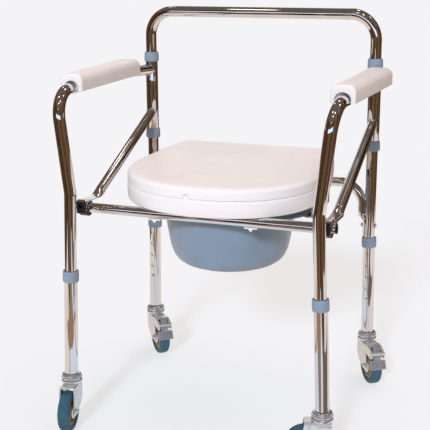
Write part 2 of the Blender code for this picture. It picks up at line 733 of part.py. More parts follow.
def build_arm_pad(chair, name, sign):
    """A hard plastic pad over the arm, wider at the back, with a channel for the tube."""
    pad_front = ARM_BEND + PAD_BEHIND_BEND - FRAME_DEPTH
    share = (pad_front + FRAME_DEPTH) / (FRAME_DEPTH - ARM_REAR_KNEE)
    arm_front = FRONT_LEG_SPACING / 2 + ARM_OUTSET
    arm_rear = UPRIGHT_SPACING / 2 + ARM_OUTSET
    front_x = arm_front + (arm_rear - arm_front) * share - PAD_FRONT_INSET
    front = Vector((sign * front_x, pad_front, ARM_HEIGHT))
    rear = Vector((sign * (arm_rear + PAD_REAR_OUTSET), -PAD_REAR, ARM_HEIGHT))
    length = (rear - front).length
    stations = quarter_round(PAD_FRONT_ROUND, PAD_FRONT_ROUND_DEPTH, 2)
    ending = quarter_round(PAD_REAR_ROUND, PAD_REAR_ROUND_DEPTH, 3)
    stations += [(length - distance, inset) for distance, inset in ending[::-1]]
    rings = []
    for distance, inset in stations:
        share = distance / length
        centre = front.lerp(rear, share)
        width = PAD_FRONT_WIDTH + (PAD_REAR_WIDTH - PAD_FRONT_WIDTH) * share
        rings.append([centre + Vector((a, 0, b)) for a, b in pad_section(width, inset)])
    mesh = ring_stack(f"arm_pad_{name}", rings, closed=False)
    pad = add_piece(f"arm_pad_{name}", mesh, chair, "pad_plastic")
    across = (1, 0, 0)
    channel = circle_rings(arm_path(sign), FRAME_TUBE / 2 + GAP, TUBE_SIDES, across)
    combine(pad, ring_stack("channel", channel, closed=False), "DIFFERENCE")
    mouth = rod("mouth", PAD_MOUTH, 2 * PAD_MOUTH_DEPTH, "Y", CUT_SIDES)
    combine(pad, mouth, "DIFFERENCE", tuple(front))


def build_lower_leg(carrier, name, facing):
    """A lower leg: the outer tube with its row of holes, and the collar round its top."""
    outer = OUTER_TUBE / 2
    inner = FRAME_TUBE / 2 + RUNNING_GAP
    leg_mesh = lathe(f"lower_leg_{name}", [(outer, LEG_BOTTOM), (outer, LEG_TOP), (inner, LEG_TOP),
                                           (inner, LEG_BOTTOM)], TUBE_SIDES, closed=True)
    leg = add_piece(f"lower_leg_{name}", leg_mesh, carrier, "chrome")
    for k in range(HOLE_COUNT):
        hole = rod("leg_hole", HOLE_DIAMETER, OUTER_TUBE / 2, "Y", HOLE_SIDES)
        combine(leg, hole, "DIFFERENCE", (0, facing * OUTER_TUBE / 2, LOWEST_HOLE + HOLE_PITCH * k))
    top = LEG_TOP + GAP + LEG_COLLAR_LIP
    bottom = top - LEG_COLLAR_HEIGHT
    wide = COLLAR_DIAMETER / 2
    profile = [(outer + GAP, bottom), (wide, bottom), (wide, top - COLLAR_EDGE), (wide - COLLAR_EDGE, top),
               (inner, top), (inner, LEG_TOP + GAP), (outer + GAP, LEG_TOP + GAP)]
    collar = lathe(f"leg_collar_{name}", profile, TUBE_SIDES, closed=True)
    add_piece(f"leg_collar_{name}", collar, carrier, "collar_plastic")


def build_button(carrier, name, facing):
    """The spring button in the lowest hole of a leg. It moves in towards the tube's axis."""
    inside = FRAME_TUBE / 2 + BUTTON_BEHIND_WALL
    wall = OUTER_TUBE / 2
    radius = BUTTON_DIAMETER / 2
    dome = [(math.cos(a), math.sin(a)) for a in (math.radians(25), math.radians(52), math.radians(75))]
    profile = [(radius, inside)] + [(radius * wide, wall + BUTTON_PROUD * high) for wide, high in dome]
    mesh = lathe(f"snap_button_{name}", [(r, facing * d) for r, d in profile], HOLE_SIDES, axis="Y")
    add_piece(f"snap_button_{name}", mesh, carrier, "zinc", (0, 0, LOWEST_HOLE))


def fork_plate():
    """Side view, as (x, z), of one cheek of a castor fork. The wheel trails towards +x."""
    axle = (CASTOR_TRAIL, WHEEL_DIAMETER / 2)
    top = CROWN_PLATE_TOP - FORK_SHEET * 0.4
    rear = CASTOR_TRAIL + FORK_BEHIND_AXLE
    lobe = arc(axle, FORK_LOBE, math.radians(215), math.radians(350), 4)
    shoulder = (-FORK_AHEAD, top - FORK_SHOULDER)
    wide = lobe[0][0] - shoulder[0]
    drop = shoulder[1] - lobe[0][1]
    turns = [math.pi / 2 * k / FORK_TAPER_STEPS for k in range(FORK_TAPER_STEPS)]
    taper = [(lobe[0][0] - wide * math.cos(a), shoulder[1] - drop * math.sin(a)) for a in turns]
    back = [(axle[0] + FORK_LOBE * 0.97, axle[1] + FORK_LOBE), (rear, top)]
    return [(-FORK_AHEAD, top)] + taper + lobe + back


def pedal_pivot():
    """Place of the brake lever's pin, as (x, z): just clear of the tyre, behind and above the axle."""
    reach = WHEEL_DIAMETER / 2 + PEDAL_CLEARANCE
    across = CASTOR_TRAIL + reach * math.cos(PEDAL_BEARING)
    up = WHEEL_DIAMETER / 2 + reach * math.sin(PEDAL_BEARING)
    return across, up


def brake_cheek():
    """Side view, as (x, z), of the cheek's extension that carries the brake lever."""
    x, z = pedal_pivot()
    top = CROWN_PLATE_TOP - HOOD_SHEET * 0.65
    rear = CASTOR_TRAIL + FORK_BEHIND_AXLE
    end = x + CHEEK_BEYOND_PIVOT
    return [(rear - HOOD_SHEET, top), (x - HOOD_FLAT, top), (end, z + CHEEK_UNDER_PIVOT * 0.87),
            (end, z - CHEEK_UNDER_PIVOT * 0.67), (x - PEDAL_PIN, z - CHEEK_UNDER_PIVOT), (rear, z)]


def brake_hood():
    """Side view, as (x, z), of the sheet over the brake lever: level, then sloping down to its lip."""
    x, z = pedal_pivot()
    front = CASTOR_TRAIL + FORK_BEHIND_AXLE - HOOD_SHEET
    lip = (x + HOOD_LIP_BEHIND, z + HOOD_LIP_ABOVE)
    top = CROWN_PLATE_TOP - GAP
    return [(front, top), (x - HOOD_FLAT, top), lip, (lip[0], lip[1] - HOOD_SHEET),
            (x - HOOD_FLAT - GAP, top - HOOD_SHEET), (front, top - HOOD_SHEET)]


def build_fork_mesh(braked):
    """The plated steel fork of a castor, in its own frame: swivel axis on z, wheel towards +x."""
    crown = CROWN_DIAMETER / 2
    hole = KINGPIN / 2 + GAP
    profile = [(hole, CROWN_TOP), (crown - CROWN_ROUND, CROWN_TOP), (crown, CROWN_TOP - CROWN_ROUND),
               (crown, CROWN_UNDER), (hole, CROWN_UNDER)]
    fork = add_piece("fork_pattern", lathe("fork_pattern", profile, TUBE_SIDES, closed=True), None, "zinc")
    inner = TYRE_WIDTH / 2 + FORK_SIDE_GAP
    outer = inner + FORK_SHEET
    rear = CASTOR_TRAIL + FORK_BEHIND_AXLE
    bridge_low = (hole + TUBE_WALL, -outer, CROWN_UNDER + GAP)
    combine(fork, box("bridge", bridge_low, (rear - GAP, outer, CROWN_PLATE_TOP - GAP)), "UNION")
    for sign in (-1, 1):
        low, high = sorted((sign * inner, sign * outer))
        combine(fork, prism("cheek", fork_plate(), low, high), "UNION")
        if braked:
            combine(fork, prism("brake_cheek", brake_cheek(), low + GAP / 3, high - GAP / 3), "UNION")
    if braked:
        x, z = pedal_pivot()
        combine(fork, prism("hood", brake_hood(), -outer - GAP, outer + GAP), "UNION")
        half = HOOD_WINDOW_WIDTH / 2
        window = box("window", (x - HOOD_WINDOW_AHEAD, -half, z), (x + HOOD_WINDOW_BEHIND, half, CROWN_TOP))
        combine(fork, window, "DIFFERENCE")
        pin_hole = rod("pin_hole", PEDAL_PIN + 2 * AXLE_PLAY, 3 * outer, "Y", HOLE_SIDES)
        combine(fork, pin_hole, "DIFFERENCE", (x, 0, z))
    axle_hole = rod("axle_hole", AXLE_DIAMETER + 2 * AXLE_PLAY, 3 * outer, "Y", HOLE_SIDES)
    combine(fork, axle_hole, "DIFFERENCE", (CASTOR_TRAIL, 0, WHEEL_DIAMETER / 2))
    bpy.context.view_layer.update()
    mesh = bpy.data.meshes.new_from_object(fork.evaluated_get(bpy.context.evaluated_depsgraph_get()))
    for tool in list(fork.children):
        bpy.data.objects.remove(tool, do_unlink=True)
    bpy.data.objects.remove(fork, do_unlink=True)
    mesh.name = "braked_fork" if braked else "plain_fork"
    return mesh


def build_wheel(hub, name):
    """The axle bolt, the wheel core and the tyre of one castor, all centred on the axle."""
    inner = TYRE_WIDTH / 2 + FORK_SIDE_GAP
    outer = inner + FORK_SHEET + GAP
    axle = AXLE_DIAMETER / 2
    head = AXLE_HEAD / 2
    edge = (head * 0.7, outer + AXLE_HEAD_HEIGHT)
    bolt = [(edge[0], -edge[1]), (head, -outer), (axle, -outer), (axle, outer), (head, outer), edge]
    add_piece(f"castor_axle_{name}", lathe(f"castor_axle_{name}", bolt, HOLE_SIDES, axis="Y"), hub, "zinc")
    bore = axle + RUNNING_GAP
    half = TYRE_WIDTH / 2
    core = CORE_DIAMETER / 2
    boss = HUB_DIAMETER / 2
    proud = inner - GAP
    section = [(bore, -proud), (boss, -proud), (core, -half + CORE_SETBACK), (core, half - CORE_SETBACK),
               (boss, proud), (bore, proud)]
    mesh = lathe(f"wheel_core_{name}", section, WHEEL_SIDES, axis="Y", closed=True, half_turn=True)
    add_piece(f"wheel_core_{name}", mesh, hub, "core_plastic")
    flat = math.cos(math.pi / WHEEL_SIDES)
    tread = WHEEL_DIAMETER / 2 / flat
    seat = core + GAP / flat
    drop = TYRE_SHOULDER_DROP
    back = TYRE_SHOULDER
    section = [(seat, -half), (tread - drop, -half), (tread, -half + back), (tread, half - back),
               (tread - drop, half), (seat, half)]
    mesh = lathe(f"tyre_{name}", section, WHEEL_SIDES, axis="Y", closed=True, half_turn=True)
    add_piece(f"tyre_{name}", mesh, hub, "tyre_rubber")


def build_castor(carrier, name, fork_mesh):
    """One swivel castor: stem, cup and race, fork, wheel, and a brake lever on the rear ones."""
    cup = CUP_DIAMETER / 2
    race = RACE_DIAMETER / 2
    pin = KINGPIN / 2
    plug = PLUG_DIAMETER / 2
    collar = OUTER_TUBE / 2
    pin_head = KINGPIN_HEAD / 2
    under = CROWN_UNDER - GAP
    top = LEG_BOTTOM - GAP - OUTER_TUBE / 2 * math.sin(LEG_SPLAY)
    profile = [(plug, top + PLUG_LENGTH), (plug, top), (collar + GAP, top),
               (collar + CUP_COLLAR, top - CUP_COLLAR * 0.4), (cup, top - CUP_HEIGHT + CUP_EDGE),
               (cup - CUP_EDGE * 0.6, top - CUP_HEIGHT), (race, top - CUP_HEIGHT - GAP),
               (race, CROWN_TOP + GAP + RACE_EDGE), (race - RACE_EDGE, CROWN_TOP + GAP),
               (pin, CROWN_TOP + GAP), (pin, under), (pin_head, under),
               (pin_head * 0.93, under - KINGPIN_HEAD_HEIGHT)]
    add_piece(f"castor_stem_{name}", lathe(f"castor_stem_{name}", profile, TUBE_SIDES), carrier, "zinc")
    turn = (0, 0, CASTOR_HEADINGS[name])
    swivel = add_empty(f"castor_{name}", carrier, turn=turn)
    add_piece(f"castor_fork_{name}", fork_mesh, swivel, "zinc", smooth=30)
    build_wheel(add_empty(f"wheel_{name}", swivel, (CASTOR_TRAIL, 0, WHEEL_DIAMETER / 2)), name)
    if name.startswith("rear"):
        build_brake_pedal(swivel, name)


def build_brake_pedal(swivel, name):
    """The brake lever: a pin, a release tab that stands up through the hood, and the foot pedal."""
    x, z = pedal_pivot()
    pin_length = 2 * (TYRE_WIDTH / 2 + FORK_SIDE_GAP + FORK_SHEET + PEDAL_PIN_OVERHANG)
    pin = rod(f"brake_pedal_{name}", PEDAL_PIN, pin_length, "Y", HOLE_SIDES)
    lever = add_piece(f"brake_pedal_{name}", pin, swivel, "pedal_steel", (x, 0, z), smooth=30)
    sheet = PEDAL_SHEET
    low = -PEDAL_TOP_DROP
    arm = [(-TAB_BEHIND, TAB_HEIGHT), (TAB_THICKNESS - TAB_BEHIND, TAB_HEIGHT),
           (PEDAL_PIN * 0.45, PEDAL_PIN / 4), (PEDAL_TOP_OUT, low), (PEDAL_TOP_OUT - sheet, low),
           (-PEDAL_PIN / 4, -PEDAL_PIN / 4), (TAB_THICKNESS / 2 - TAB_BEHIND, PEDAL_PIN / 4)]
    combine(lever, prism("arm", arm, -TAB_WIDTH / 2, TAB_WIDTH / 2), "UNION")
    pad = [(PEDAL_TOP_OUT - sheet - GAP, low + sheet), (PEDAL_TOP_OUT + GAP, low + sheet),
           (PEDAL_TOE_OUT, -PEDAL_TOE_DROP), (PEDAL_TOE_OUT - sheet, -PEDAL_TOE_DROP)]
    combine(lever, prism("pad", pad, -PEDAL_WIDTH / 2, PEDAL_WIDTH / 2), "UNION")


def seat_half(inset, back):
    """Right half of the seat's plan, from the front middle to the back middle."""
    centre = back - SEAT_WIDEST
    front = SEAT_LENGTH - SEAT_WIDEST - inset
    wide = SEAT_WIDTH / 2 - inset
    narrow = SEAT_BACK_WIDTH / 2 - inset
    corner = SEAT_CORNER - inset * 0.5
    rear = back - inset
    power = 2 / 2.25
    points = []
    for k in range(FRONT_STEPS):
        angle = math.pi / 2 * (k + 0.5) / FRONT_STEPS
        points.append((wide * math.sin(angle) ** power, centre - front * math.cos(angle) ** power))
    run = rear - corner - centre
    for k in range(SIDE_STEPS):
        share = k / SIDE_STEPS
        points.append((wide - (wide - narrow) * share ** 1.8, centre + run * share))
    points += arc((narrow - corner, rear - corner), corner, 0, math.pi / 2, CORNER_STEPS)
    for k in range(1, BACK_STEPS + 1):
        points.append(((narrow - corner) * (1 - k / (BACK_STEPS + 0.5)), rear))
    return points


def seat_outline(inset, back):
    """Plan of the seat: straight back, sides that spread forwards, and a round front."""
    right = seat_half(inset, back)
    return right + [(-x, y) for x, y in right[::-1]]


def oval(width, length, centre):
    """Points round an oval, each in line with the same point of the seat's outline."""
    middle = SEAT_BACK - SEAT_LENGTH / 2
    points = []
    for x, y in seat_outline(0, SEAT_BACK):
        angle = math.atan2((y - middle) / SEAT_LENGTH, x / SEAT_WIDTH)
        points.append((width / 2 * math.cos(angle), centre + length / 2 * math.sin(angle)))
    return points


def at_height(points, height):
    """Lifts plan points to a height."""
    return [(x, y, height) for x, y in points]


def seat_height():
    """Height of the ring's underside above y = 0, where it rests on the front crossbar."""
    return FRONT_BAR_HEIGHT + BAR_TUBE / 2 + SEAT_ABOVE_BAR - FRONT_BAR_Y * math.tan(SEAT_SLOPE)


def in_seat(y, z):
    """A point of the chair's frame, as (y, z) in the seat's own tilted frame."""
    up = z - seat_height()
    return (y * math.cos(SEAT_SLOPE) + up * math.sin(SEAT_SLOPE),
            up * math.cos(SEAT_SLOPE) - y * math.sin(SEAT_SLOPE))


def seat_ring_mesh():
    """The ring itself: a shell that is open below, with an oval hole that has a skirt of its own."""
    back = SEAT_BACK
    centre = back - HOLE_CENTRE
    wall = SHELL_WALL
    soft = RING_ROUND
    top = RING_HEIGHT

    def hole(extra, height):
        """One loop round the hole."""
        return at_height(oval(HOLE_WIDTH + extra, HOLE_LENGTH + extra, centre), height)

    rings = [
        at_height(seat_outline(soft * 0.3, back), 0),
        at_height(seat_outline(0, back), soft * 0.8),
        at_height(seat_outline(0, back), top - soft),
        at_height(seat_outline(soft * 0.3, back), top - soft * 0.25),
        at_height(seat_outline(soft, back), top),
        hole(2 * HOLE_ROUND, top),
        hole(0, top - HOLE_ROUND),
        hole(0, HOLE_SKIRT_BOTTOM),
        hole(2 * wall, HOLE_SKIRT_BOTTOM),
        hole(2 * wall, top - wall),
        at_height(seat_outline(wall, back), top - wall),
        at_height(seat_outline(wall, back), 0),
    ]
    return ring_stack("seat_ring", rings, closed=True)


def add_front_clip(ring, x):
    """A tongue behind the front crossbar with a foot that hooks under it and ends in a barb."""
    half = CLIP_WIDTH / 2
    bar = BAR_TUBE / 2 + CLIP_PLAY
    y, z = in_seat(FRONT_BAR_Y, FRONT_BAR_HEIGHT)
    inside = RING_HEIGHT - SHELL_WALL / 2
    behind = y + bar
    tongue = box("tongue", (x - half, behind, z - bar - CLIP_SHEET), (x + half, behind + CLIP_SHEET, inside))
    combine(ring, tongue, "UNION")
    foot_top = z - bar - GAP
    foot_low = foot_top - CLIP_FOOT_SHEET
    reach = half * CLIP_FOOT_SHARE
    foot = box("foot", (x - reach, y - CLIP_FOOT_REACH, foot_low), (x + reach, behind + GAP, foot_top))
    combine(ring, foot, "UNION")
    root = foot_low + GAP
    tip = foot_low - BARB_HEIGHT
    wedge = [(x - BARB_WIDTH / 2, root), (x + BARB_WIDTH / 2, root), (x + BARB_TIP / 2, tip),
             (x - BARB_TIP / 2, tip)]
    start = y - CLIP_FOOT_REACH * 0.8
    combine(ring, prism("barb", wedge, start, start + BARB_DEPTH), "UNION")


def build_seat(chair):
    """The seat ring with its clips and hinge posts, the lid, and the hinge pin."""
    seat = add_empty("seat", chair, (0, 0, seat_height()), (SEAT_SLOPE, 0, 0))
    ring = add_piece("seat_ring", seat_ring_mesh(), seat, "seat_plastic")
    inside = RING_HEIGHT - SHELL_WALL / 2
    half = CLIP_WIDTH / 2
    bar = BAR_TUBE / 2
    rear_y, rear_z = in_seat(0, REAR_BAR_HEIGHT)
    hinge_y = SEAT_BACK - LID_BACK + HINGE_AHEAD
    hinge_z = RING_HEIGHT + KNUCKLE / 2 + KNUCKLE_RISE
    post_y = HINGE_POST_DEPTH / 2
    for sign in SIDES.values():
        add_front_clip(ring, sign * FRONT_CLIP_SPACING / 2)
        x = sign * REAR_CLIP_SPACING / 2
        saddle = box("saddle", (x - half, rear_y - bar - REAR_CLIP_AHEAD, rear_z),
                     (x + half, rear_y + REAR_CLIP_BEHIND, inside))
        combine(ring, saddle, "UNION")
        x = sign * (KNUCKLE_LENGTH / 2 + HINGE_POST / 2 + 2 * GAP)
        post = box("post", (x - HINGE_POST / 2, hinge_y - post_y, inside),
                   (x + HINGE_POST / 2, hinge_y + post_y, hinge_z + HINGE_POST_TOP))
        combine(ring, post, "UNION")
    bar_seat = rod("rear_bar_seat", BAR_TUBE + 3 * GAP, SEAT_WIDTH, "X", CUT_SIDES)
    combine(ring, bar_seat, "DIFFERENCE", (0, rear_y, rear_z))
    pin_hole = rod("pin_hole", HINGE_PIN + 2 * GAP, 2 * KNUCKLE_LENGTH, "X", TUBE_SIDES)
    combine(ring, pin_hole, "DIFFERENCE", (0, hinge_y, hinge_z))
    pin_half = KNUCKLE_LENGTH / 2 + HINGE_POST + HINGE_PIN_OVERHANG
    pin = [(HINGE_PIN / 2, -pin_half), (HINGE_PIN / 2, pin_half)]
    mesh = lathe("lid_hinge_pin", pin, SCREW_SIDES, axis="X")
    add_piece("lid_hinge_pin", mesh, seat, "zinc", (0, hinge_y, hinge_z))
    build_lid(seat, hinge_y, hinge_z)


def build_lid(seat, hinge_y, hinge_z):
    """The lid: a shallow crowned shell over the ring, with the knuckle that turns on the pin."""
    low = RING_HEIGHT + 2 * GAP
    top = low + LID_HEIGHT
    back = SEAT_BACK
    edge = back - LID_BACK
    wall = SHELL_WALL
    soft = LID_ROUND
    crown = LID_CROWN
    centre_y = back - HOLE_CENTRE

    def loop(inset, height):
        """One loop of the lid, set back at its rear edge, relative to the hinge axis."""
        points = []
        for x, y in seat_outline(inset + LID_INSET, back):
            points.append((x, min(y, edge - inset) - hinge_y, height - hinge_z))
        return points

    def small(scale, height):
        """A loop near the lid's middle."""
        points = oval(LID_MIDDLE_WIDTH * scale, LID_MIDDLE_LENGTH * scale, centre_y)
        return [(x, y - hinge_y, height - hinge_z) for x, y in points]

    inside = top - wall
    rings = [small(0.02, inside + crown), small(1, inside + crown * 0.7), loop(soft, inside - crown / 2),
             loop(wall + crown, inside - soft * 0.3), loop(wall, low), loop(0, low),
             loop(0, top - soft * 0.53), loop(soft * 0.14, top - soft * 0.21),
             loop(soft * 0.44, top - soft * 0.05), loop(soft, top), small(1, top + crown * 0.7),
             small(0.02, top + crown)]
    mesh = ring_stack("lid", rings, closed=False)
    lid = add_piece("lid", mesh, seat, "seat_plastic", (0, hinge_y, hinge_z))
    half = KNUCKLE_LENGTH / 2
    knuckle = lathe("knuckle", [(KNUCKLE / 2, -half), (KNUCKLE / 2, half)], 20, axis="X")
    combine(lid, knuckle, "UNION")
    bore = rod("pin_bore", HINGE_PIN + 2 * RUNNING_GAP, 2 * KNUCKLE_LENGTH, "X", TUBE_SIDES)
    combine(lid, bore, "DIFFERENCE")
    for sign in SIDES.values():
        x = sign * (half + HINGE_POST / 2 + 2 * GAP)
        room = HINGE_POST / 2 + POCKET_PLAY
        pocket = box("pocket", (x - room, -POCKET_AHEAD, -KNUCKLE), (x + room, 2 * POCKET_AHEAD, KNUCKLE))
        combine(lid, pocket, "DIFFERENCE")


def build_bucket(chair):
    """The bucket: a deep bowl with a wide oval flange that rides on the two rails."""
    rim = BUCKET_DIAMETER / 2
    deep = BUCKET_DEPTH
    under = -FLANGE_THICKNESS
    wall = BUCKET_WALL
    taper = BUCKET_FLOOR_INSET
    shares = ((1, 0), (0.71, 0.013), (0.43, 0.091), (0.267, 0.235), (0.181, 0.417))
    bowl = [(rim - taper * inward, -deep * (1 - up)) for inward, up in shares] + [(rim - GAP, under)]
    lift = (1, 1, 0.8, 0.5, 0, 0)
    inside = [(radius - wall, height + wall * share) for (radius, height), share in zip(bowl, lift)]
    sizes = [(wall, wall, -deep)] + [(r, r, h) for r, h in bowl]
    sizes += [(FLANGE_WIDTH / 2, FLANGE_LENGTH / 2, under), (FLANGE_WIDTH / 2, FLANGE_LENGTH / 2, 0)]
    sizes += [(rim - wall, rim - wall, 0)] + [(r, r, h) for r, h in inside[-2::-1]]
    sizes += [(wall, wall, -deep + wall)]
    angles = [2 * math.pi * k / BUCKET_SIDES for k in range(BUCKET_SIDES)]
    turns = [(math.cos(a), math.sin(a)) for a in angles]
    rings = [[(wide * c, long * s, height) for c, s in turns] for wide, long, height in sizes]
    mesh = ring_stack("bucket", rings, closed=False)
    add_piece("bucket", mesh, chair, "bucket_plastic", (0, BUCKET_Y, BUCKET_TOP))


def build_rail(chair, name, sign):
    """A bent strip under the seat: its web hangs from the ring and its lip carries the flange."""
    ceiling = RING_HEIGHT - SHELL_WALL - GAP

    def under_ring(y):
        """Height of the ring's underside at y."""
        return seat_height() + y * math.tan(SEAT_SLOPE) + ceiling / math.cos(SEAT_SLOPE)

    widest = SEAT_BACK - SEAT_WIDEST
    front = widest - RAIL_AHEAD
    rear = widest + RAIL_BEHIND
    lip_top = BUCKET_TOP - FLANGE_THICKNESS - GAP
    low = lip_top - RAIL_SHEET
    web = [(front, low), (rear, low), (rear, under_ring(rear)), (front, under_ring(front))]
    inner = FLANGE_WIDTH / 2 + RAIL_PLAY
    edges = sorted((sign * inner, sign * (inner + RAIL_SHEET)))
    mesh = prism(f"bucket_rail_{name}", web, *edges, across="X")
    rail = add_piece(f"bucket_rail_{name}", mesh, chair, "zinc", smooth=30)
    edges = sorted((sign * (inner - RAIL_LIP), sign * (inner + RAIL_SHEET / 2)))
    lip = box("lip", (edges[0], front, low + GAP / 3), (edges[1], rear, lip_top))
    combine(rail, lip, "UNION")


def build_chair():
    """Builds every piece in order."""
    clear_scene()
    chair = add_empty("chair", place=(-FOOTPRINT_X, -FOOTPRINT_Y, 0))
    build_back_frame(chair)
    build_crossbars(chair)
    for name, sign in SIDES.items():
        build_sleeve_set(chair, name, sign)
        build_side_tube(chair, name, sign)
        build_cradle(chair, name, sign)
        build_brace(chair, name, sign)
        build_arm_pad(chair, name, sign)
        build_rail(chair, name, sign)
    fork_meshes = {"front": build_fork_mesh(False), "rear": build_fork_mesh(True)}
    for end, side in CORNERS:
        name = f"{end}_{side}"
        sign = SIDES[side]
        front = end == "front"
        offset = leg_offset if front else rear_offset
        lean = LEG_SPLAY if front else REAR_SPLAY
        depth = -FRAME_DEPTH if front else 0.0
        facing = 1 if front else -1
        carrier = add_empty(f"leg_axis_{name}", chair, (sign * offset(0), depth, 0), (0, -sign * lean, 0))
        build_lower_leg(carrier, name, facing)
        build_button(carrier, name, facing)
        castor = add_empty(f"castor_axis_{name}", chair, (sign * offset(LEG_BOTTOM), depth, 0))
        build_castor(castor, name, fork_meshes[end])
    build_seat(chair)
    build_bucket(chair)


build_chair()
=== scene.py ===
"""Looks of a wheeled commode chair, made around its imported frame.

Lengths are metres. Pieces are worked out in the chair's own frame: the two rear uprights stand on
y = 0, the middle plane is x = 0, +Z is up and the chair faces -Y. Left is -X. Workshop.make moves
each finished mesh to the chair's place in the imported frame.
"""
import json
import logging
import math
from collections.abc import Sequence
from dataclasses import dataclass
from enum import Enum

import bmesh
import bpy
import numpy as np
from bpy.types import ID, Material, Node, NodeSocket, NodeTree, Object, World
from mathutils import Matrix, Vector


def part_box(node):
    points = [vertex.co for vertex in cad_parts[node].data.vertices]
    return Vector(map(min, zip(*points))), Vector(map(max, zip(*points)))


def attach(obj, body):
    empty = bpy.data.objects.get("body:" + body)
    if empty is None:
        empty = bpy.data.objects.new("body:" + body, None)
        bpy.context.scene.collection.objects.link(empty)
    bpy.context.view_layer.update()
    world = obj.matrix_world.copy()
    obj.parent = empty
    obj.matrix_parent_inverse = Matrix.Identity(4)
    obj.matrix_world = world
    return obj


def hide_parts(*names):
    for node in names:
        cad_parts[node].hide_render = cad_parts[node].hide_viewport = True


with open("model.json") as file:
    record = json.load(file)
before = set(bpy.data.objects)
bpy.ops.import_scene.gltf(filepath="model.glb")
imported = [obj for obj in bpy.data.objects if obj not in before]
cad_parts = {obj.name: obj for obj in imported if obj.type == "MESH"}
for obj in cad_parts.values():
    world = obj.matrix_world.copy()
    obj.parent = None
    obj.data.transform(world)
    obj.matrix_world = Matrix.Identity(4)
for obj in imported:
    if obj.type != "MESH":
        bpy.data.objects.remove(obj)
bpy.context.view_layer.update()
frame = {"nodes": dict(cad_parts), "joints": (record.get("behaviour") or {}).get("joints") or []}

logging.basicConfig(level=logging.INFO, format="%(message)s")
LOG = logging.getLogger("commode_chair")

TURN = 2 * math.pi
# Points round a tube
ROUND = 48
# Points that are closer together than this are one
MERGE = 1e-6
# Points round a weld bead, and the share by which each ripple swells it
BEAD_SIDES = 10
BEAD_SWELL = 0.12
CORNERS = ("front_left", "front_right", "rear_left", "rear_right")
SIDES = {"left": -1, "right": 1}


class Axis(Enum):
    """The axis that a turned or extruded shape lies along."""

    X = 0
    Y = 1
    Z = 2


def unit(vectors: np.ndarray) -> np.ndarray:
    """Vectors scaled to length one along their last axis."""
    return vectors / np.linalg.norm(vectors, axis=-1, keepdims=True)


def direction(angles: np.ndarray) -> np.ndarray:
    """Points on the unit circle: (cos a, sin a)."""
    return rows_of(np.cos(angles), np.sin(angles))


def rows_of(*columns: np.ndarray | float) -> np.ndarray:
    """Puts columns side by side. A single number fills its column."""
    return np.stack(np.broadcast_arrays(*columns), axis=-1)


def left_of(ahead: np.ndarray) -> np.ndarray:
    """Flat directions turned by a quarter to the left."""
    return rows_of(-ahead[..., 1], ahead[..., 0])


def lift(flat: np.ndarray, level: np.ndarray | float = 0.0, axis: Axis = Axis.Z) -> np.ndarray:
    """Gives flat points their third coordinate.

    Args:
        flat: Points, with the two coordinates across the axis last.
        level: Their place along the axis.
        axis: The axis that level runs along.
    Returns:
        The points, with x, y and z last.
    """
    parts = [flat[..., 0], flat[..., 1]]
    parts.insert(axis.value, level)
    return rows_of(*parts)


def arc(centre: Sequence[float], radius: float | Sequence[float], start: float, end: float,
        steps: int) -> np.ndarray:
    """Points on a flat arc, round or oval: centre + radius (cos a, sin a).

    Args:
        centre: Middle of the arc.
        radius: Its radius, or its two radii. A negative one mirrors the arc.
        start: First angle, in degrees.
        end: Last angle, in degrees.
        steps: Number of flat pieces.
    Returns:
        The points, one a row.
    """
    angles = np.radians(np.linspace(start, end, steps + 1))
    return np.asarray(centre) + np.asarray(radius) * direction(angles)


def chain(*parts: Sequence[float] | np.ndarray) -> np.ndarray:
    """Joins points and rows of points into one line."""
    return np.concatenate([np.atleast_2d(np.asarray(part, float)) for part in parts])


def box(left: float, low: float, right: float, high: float) -> np.ndarray:
    """The four corners of a rectangle, from its lower left."""
    return np.array([(left, low), (right, low), (right, high), (left, high)])


def mirrored(half: np.ndarray, signs: tuple[int, int] = (1, -1)) -> np.ndarray:
    """Half a line, and then its mirror image from its last point back."""
    return np.concatenate([half, half[::-1] * signs])


def smooth_step(share: np.ndarray) -> np.ndarray:
    """Goes from 0 to 1 with level ends, as s^2 (3 - 2 s)."""
    return share ** 2 * (3 - 2 * share)


def fillet(corners: Sequence[Sequence[float]], radius: float, closed: bool = True,
           steps: int = 4) -> np.ndarray:
    """Rounds the corners of a flat outline.

    Each corner gives way to an arc that touches both its edges. The arc starts and ends
    radius * tan(turn / 2) from the corner, or at less than half of the shorter edge.

    Args:
        corners: Points of the outline, in order.
        radius: Radius of the corners, or 0 for none.
        closed: Whether the last corner joins the first.
        steps: Flat pieces in each arc.
    Returns:
        The rounded outline, one point a row.
    """
    points = np.asarray(corners, float)
    before = np.roll(points, 1, axis=0) - points
    after = np.roll(points, -1, axis=0) - points
    rows = []
    for k, point in enumerate(points):
        if radius <= 0 or (not closed and k in (0, len(points) - 1)):
            rows.append(point[None])
            continue
        back, ahead = unit(before[k]), unit(after[k])
        turn = math.pi - math.acos(np.clip(back @ ahead, -1, 1))
        if turn < 0.05:
            rows.append(point[None])
            continue
        shorter = min(np.linalg.norm(before[k]), np.linalg.norm(after[k]))
        reach = min(radius * math.tan(turn / 2), 0.48 * shorter)
        bend = reach / math.tan(turn / 2)
        inward = unit(ahead - (-back) * (ahead @ -back))
        angles = np.linspace(0, turn, steps + 1)[:, None]
        start = point + back * reach
        rows.append(start + bend * (np.sin(angles) * -back + (1 - np.cos(angles)) * inward))
    return np.concatenate(rows)


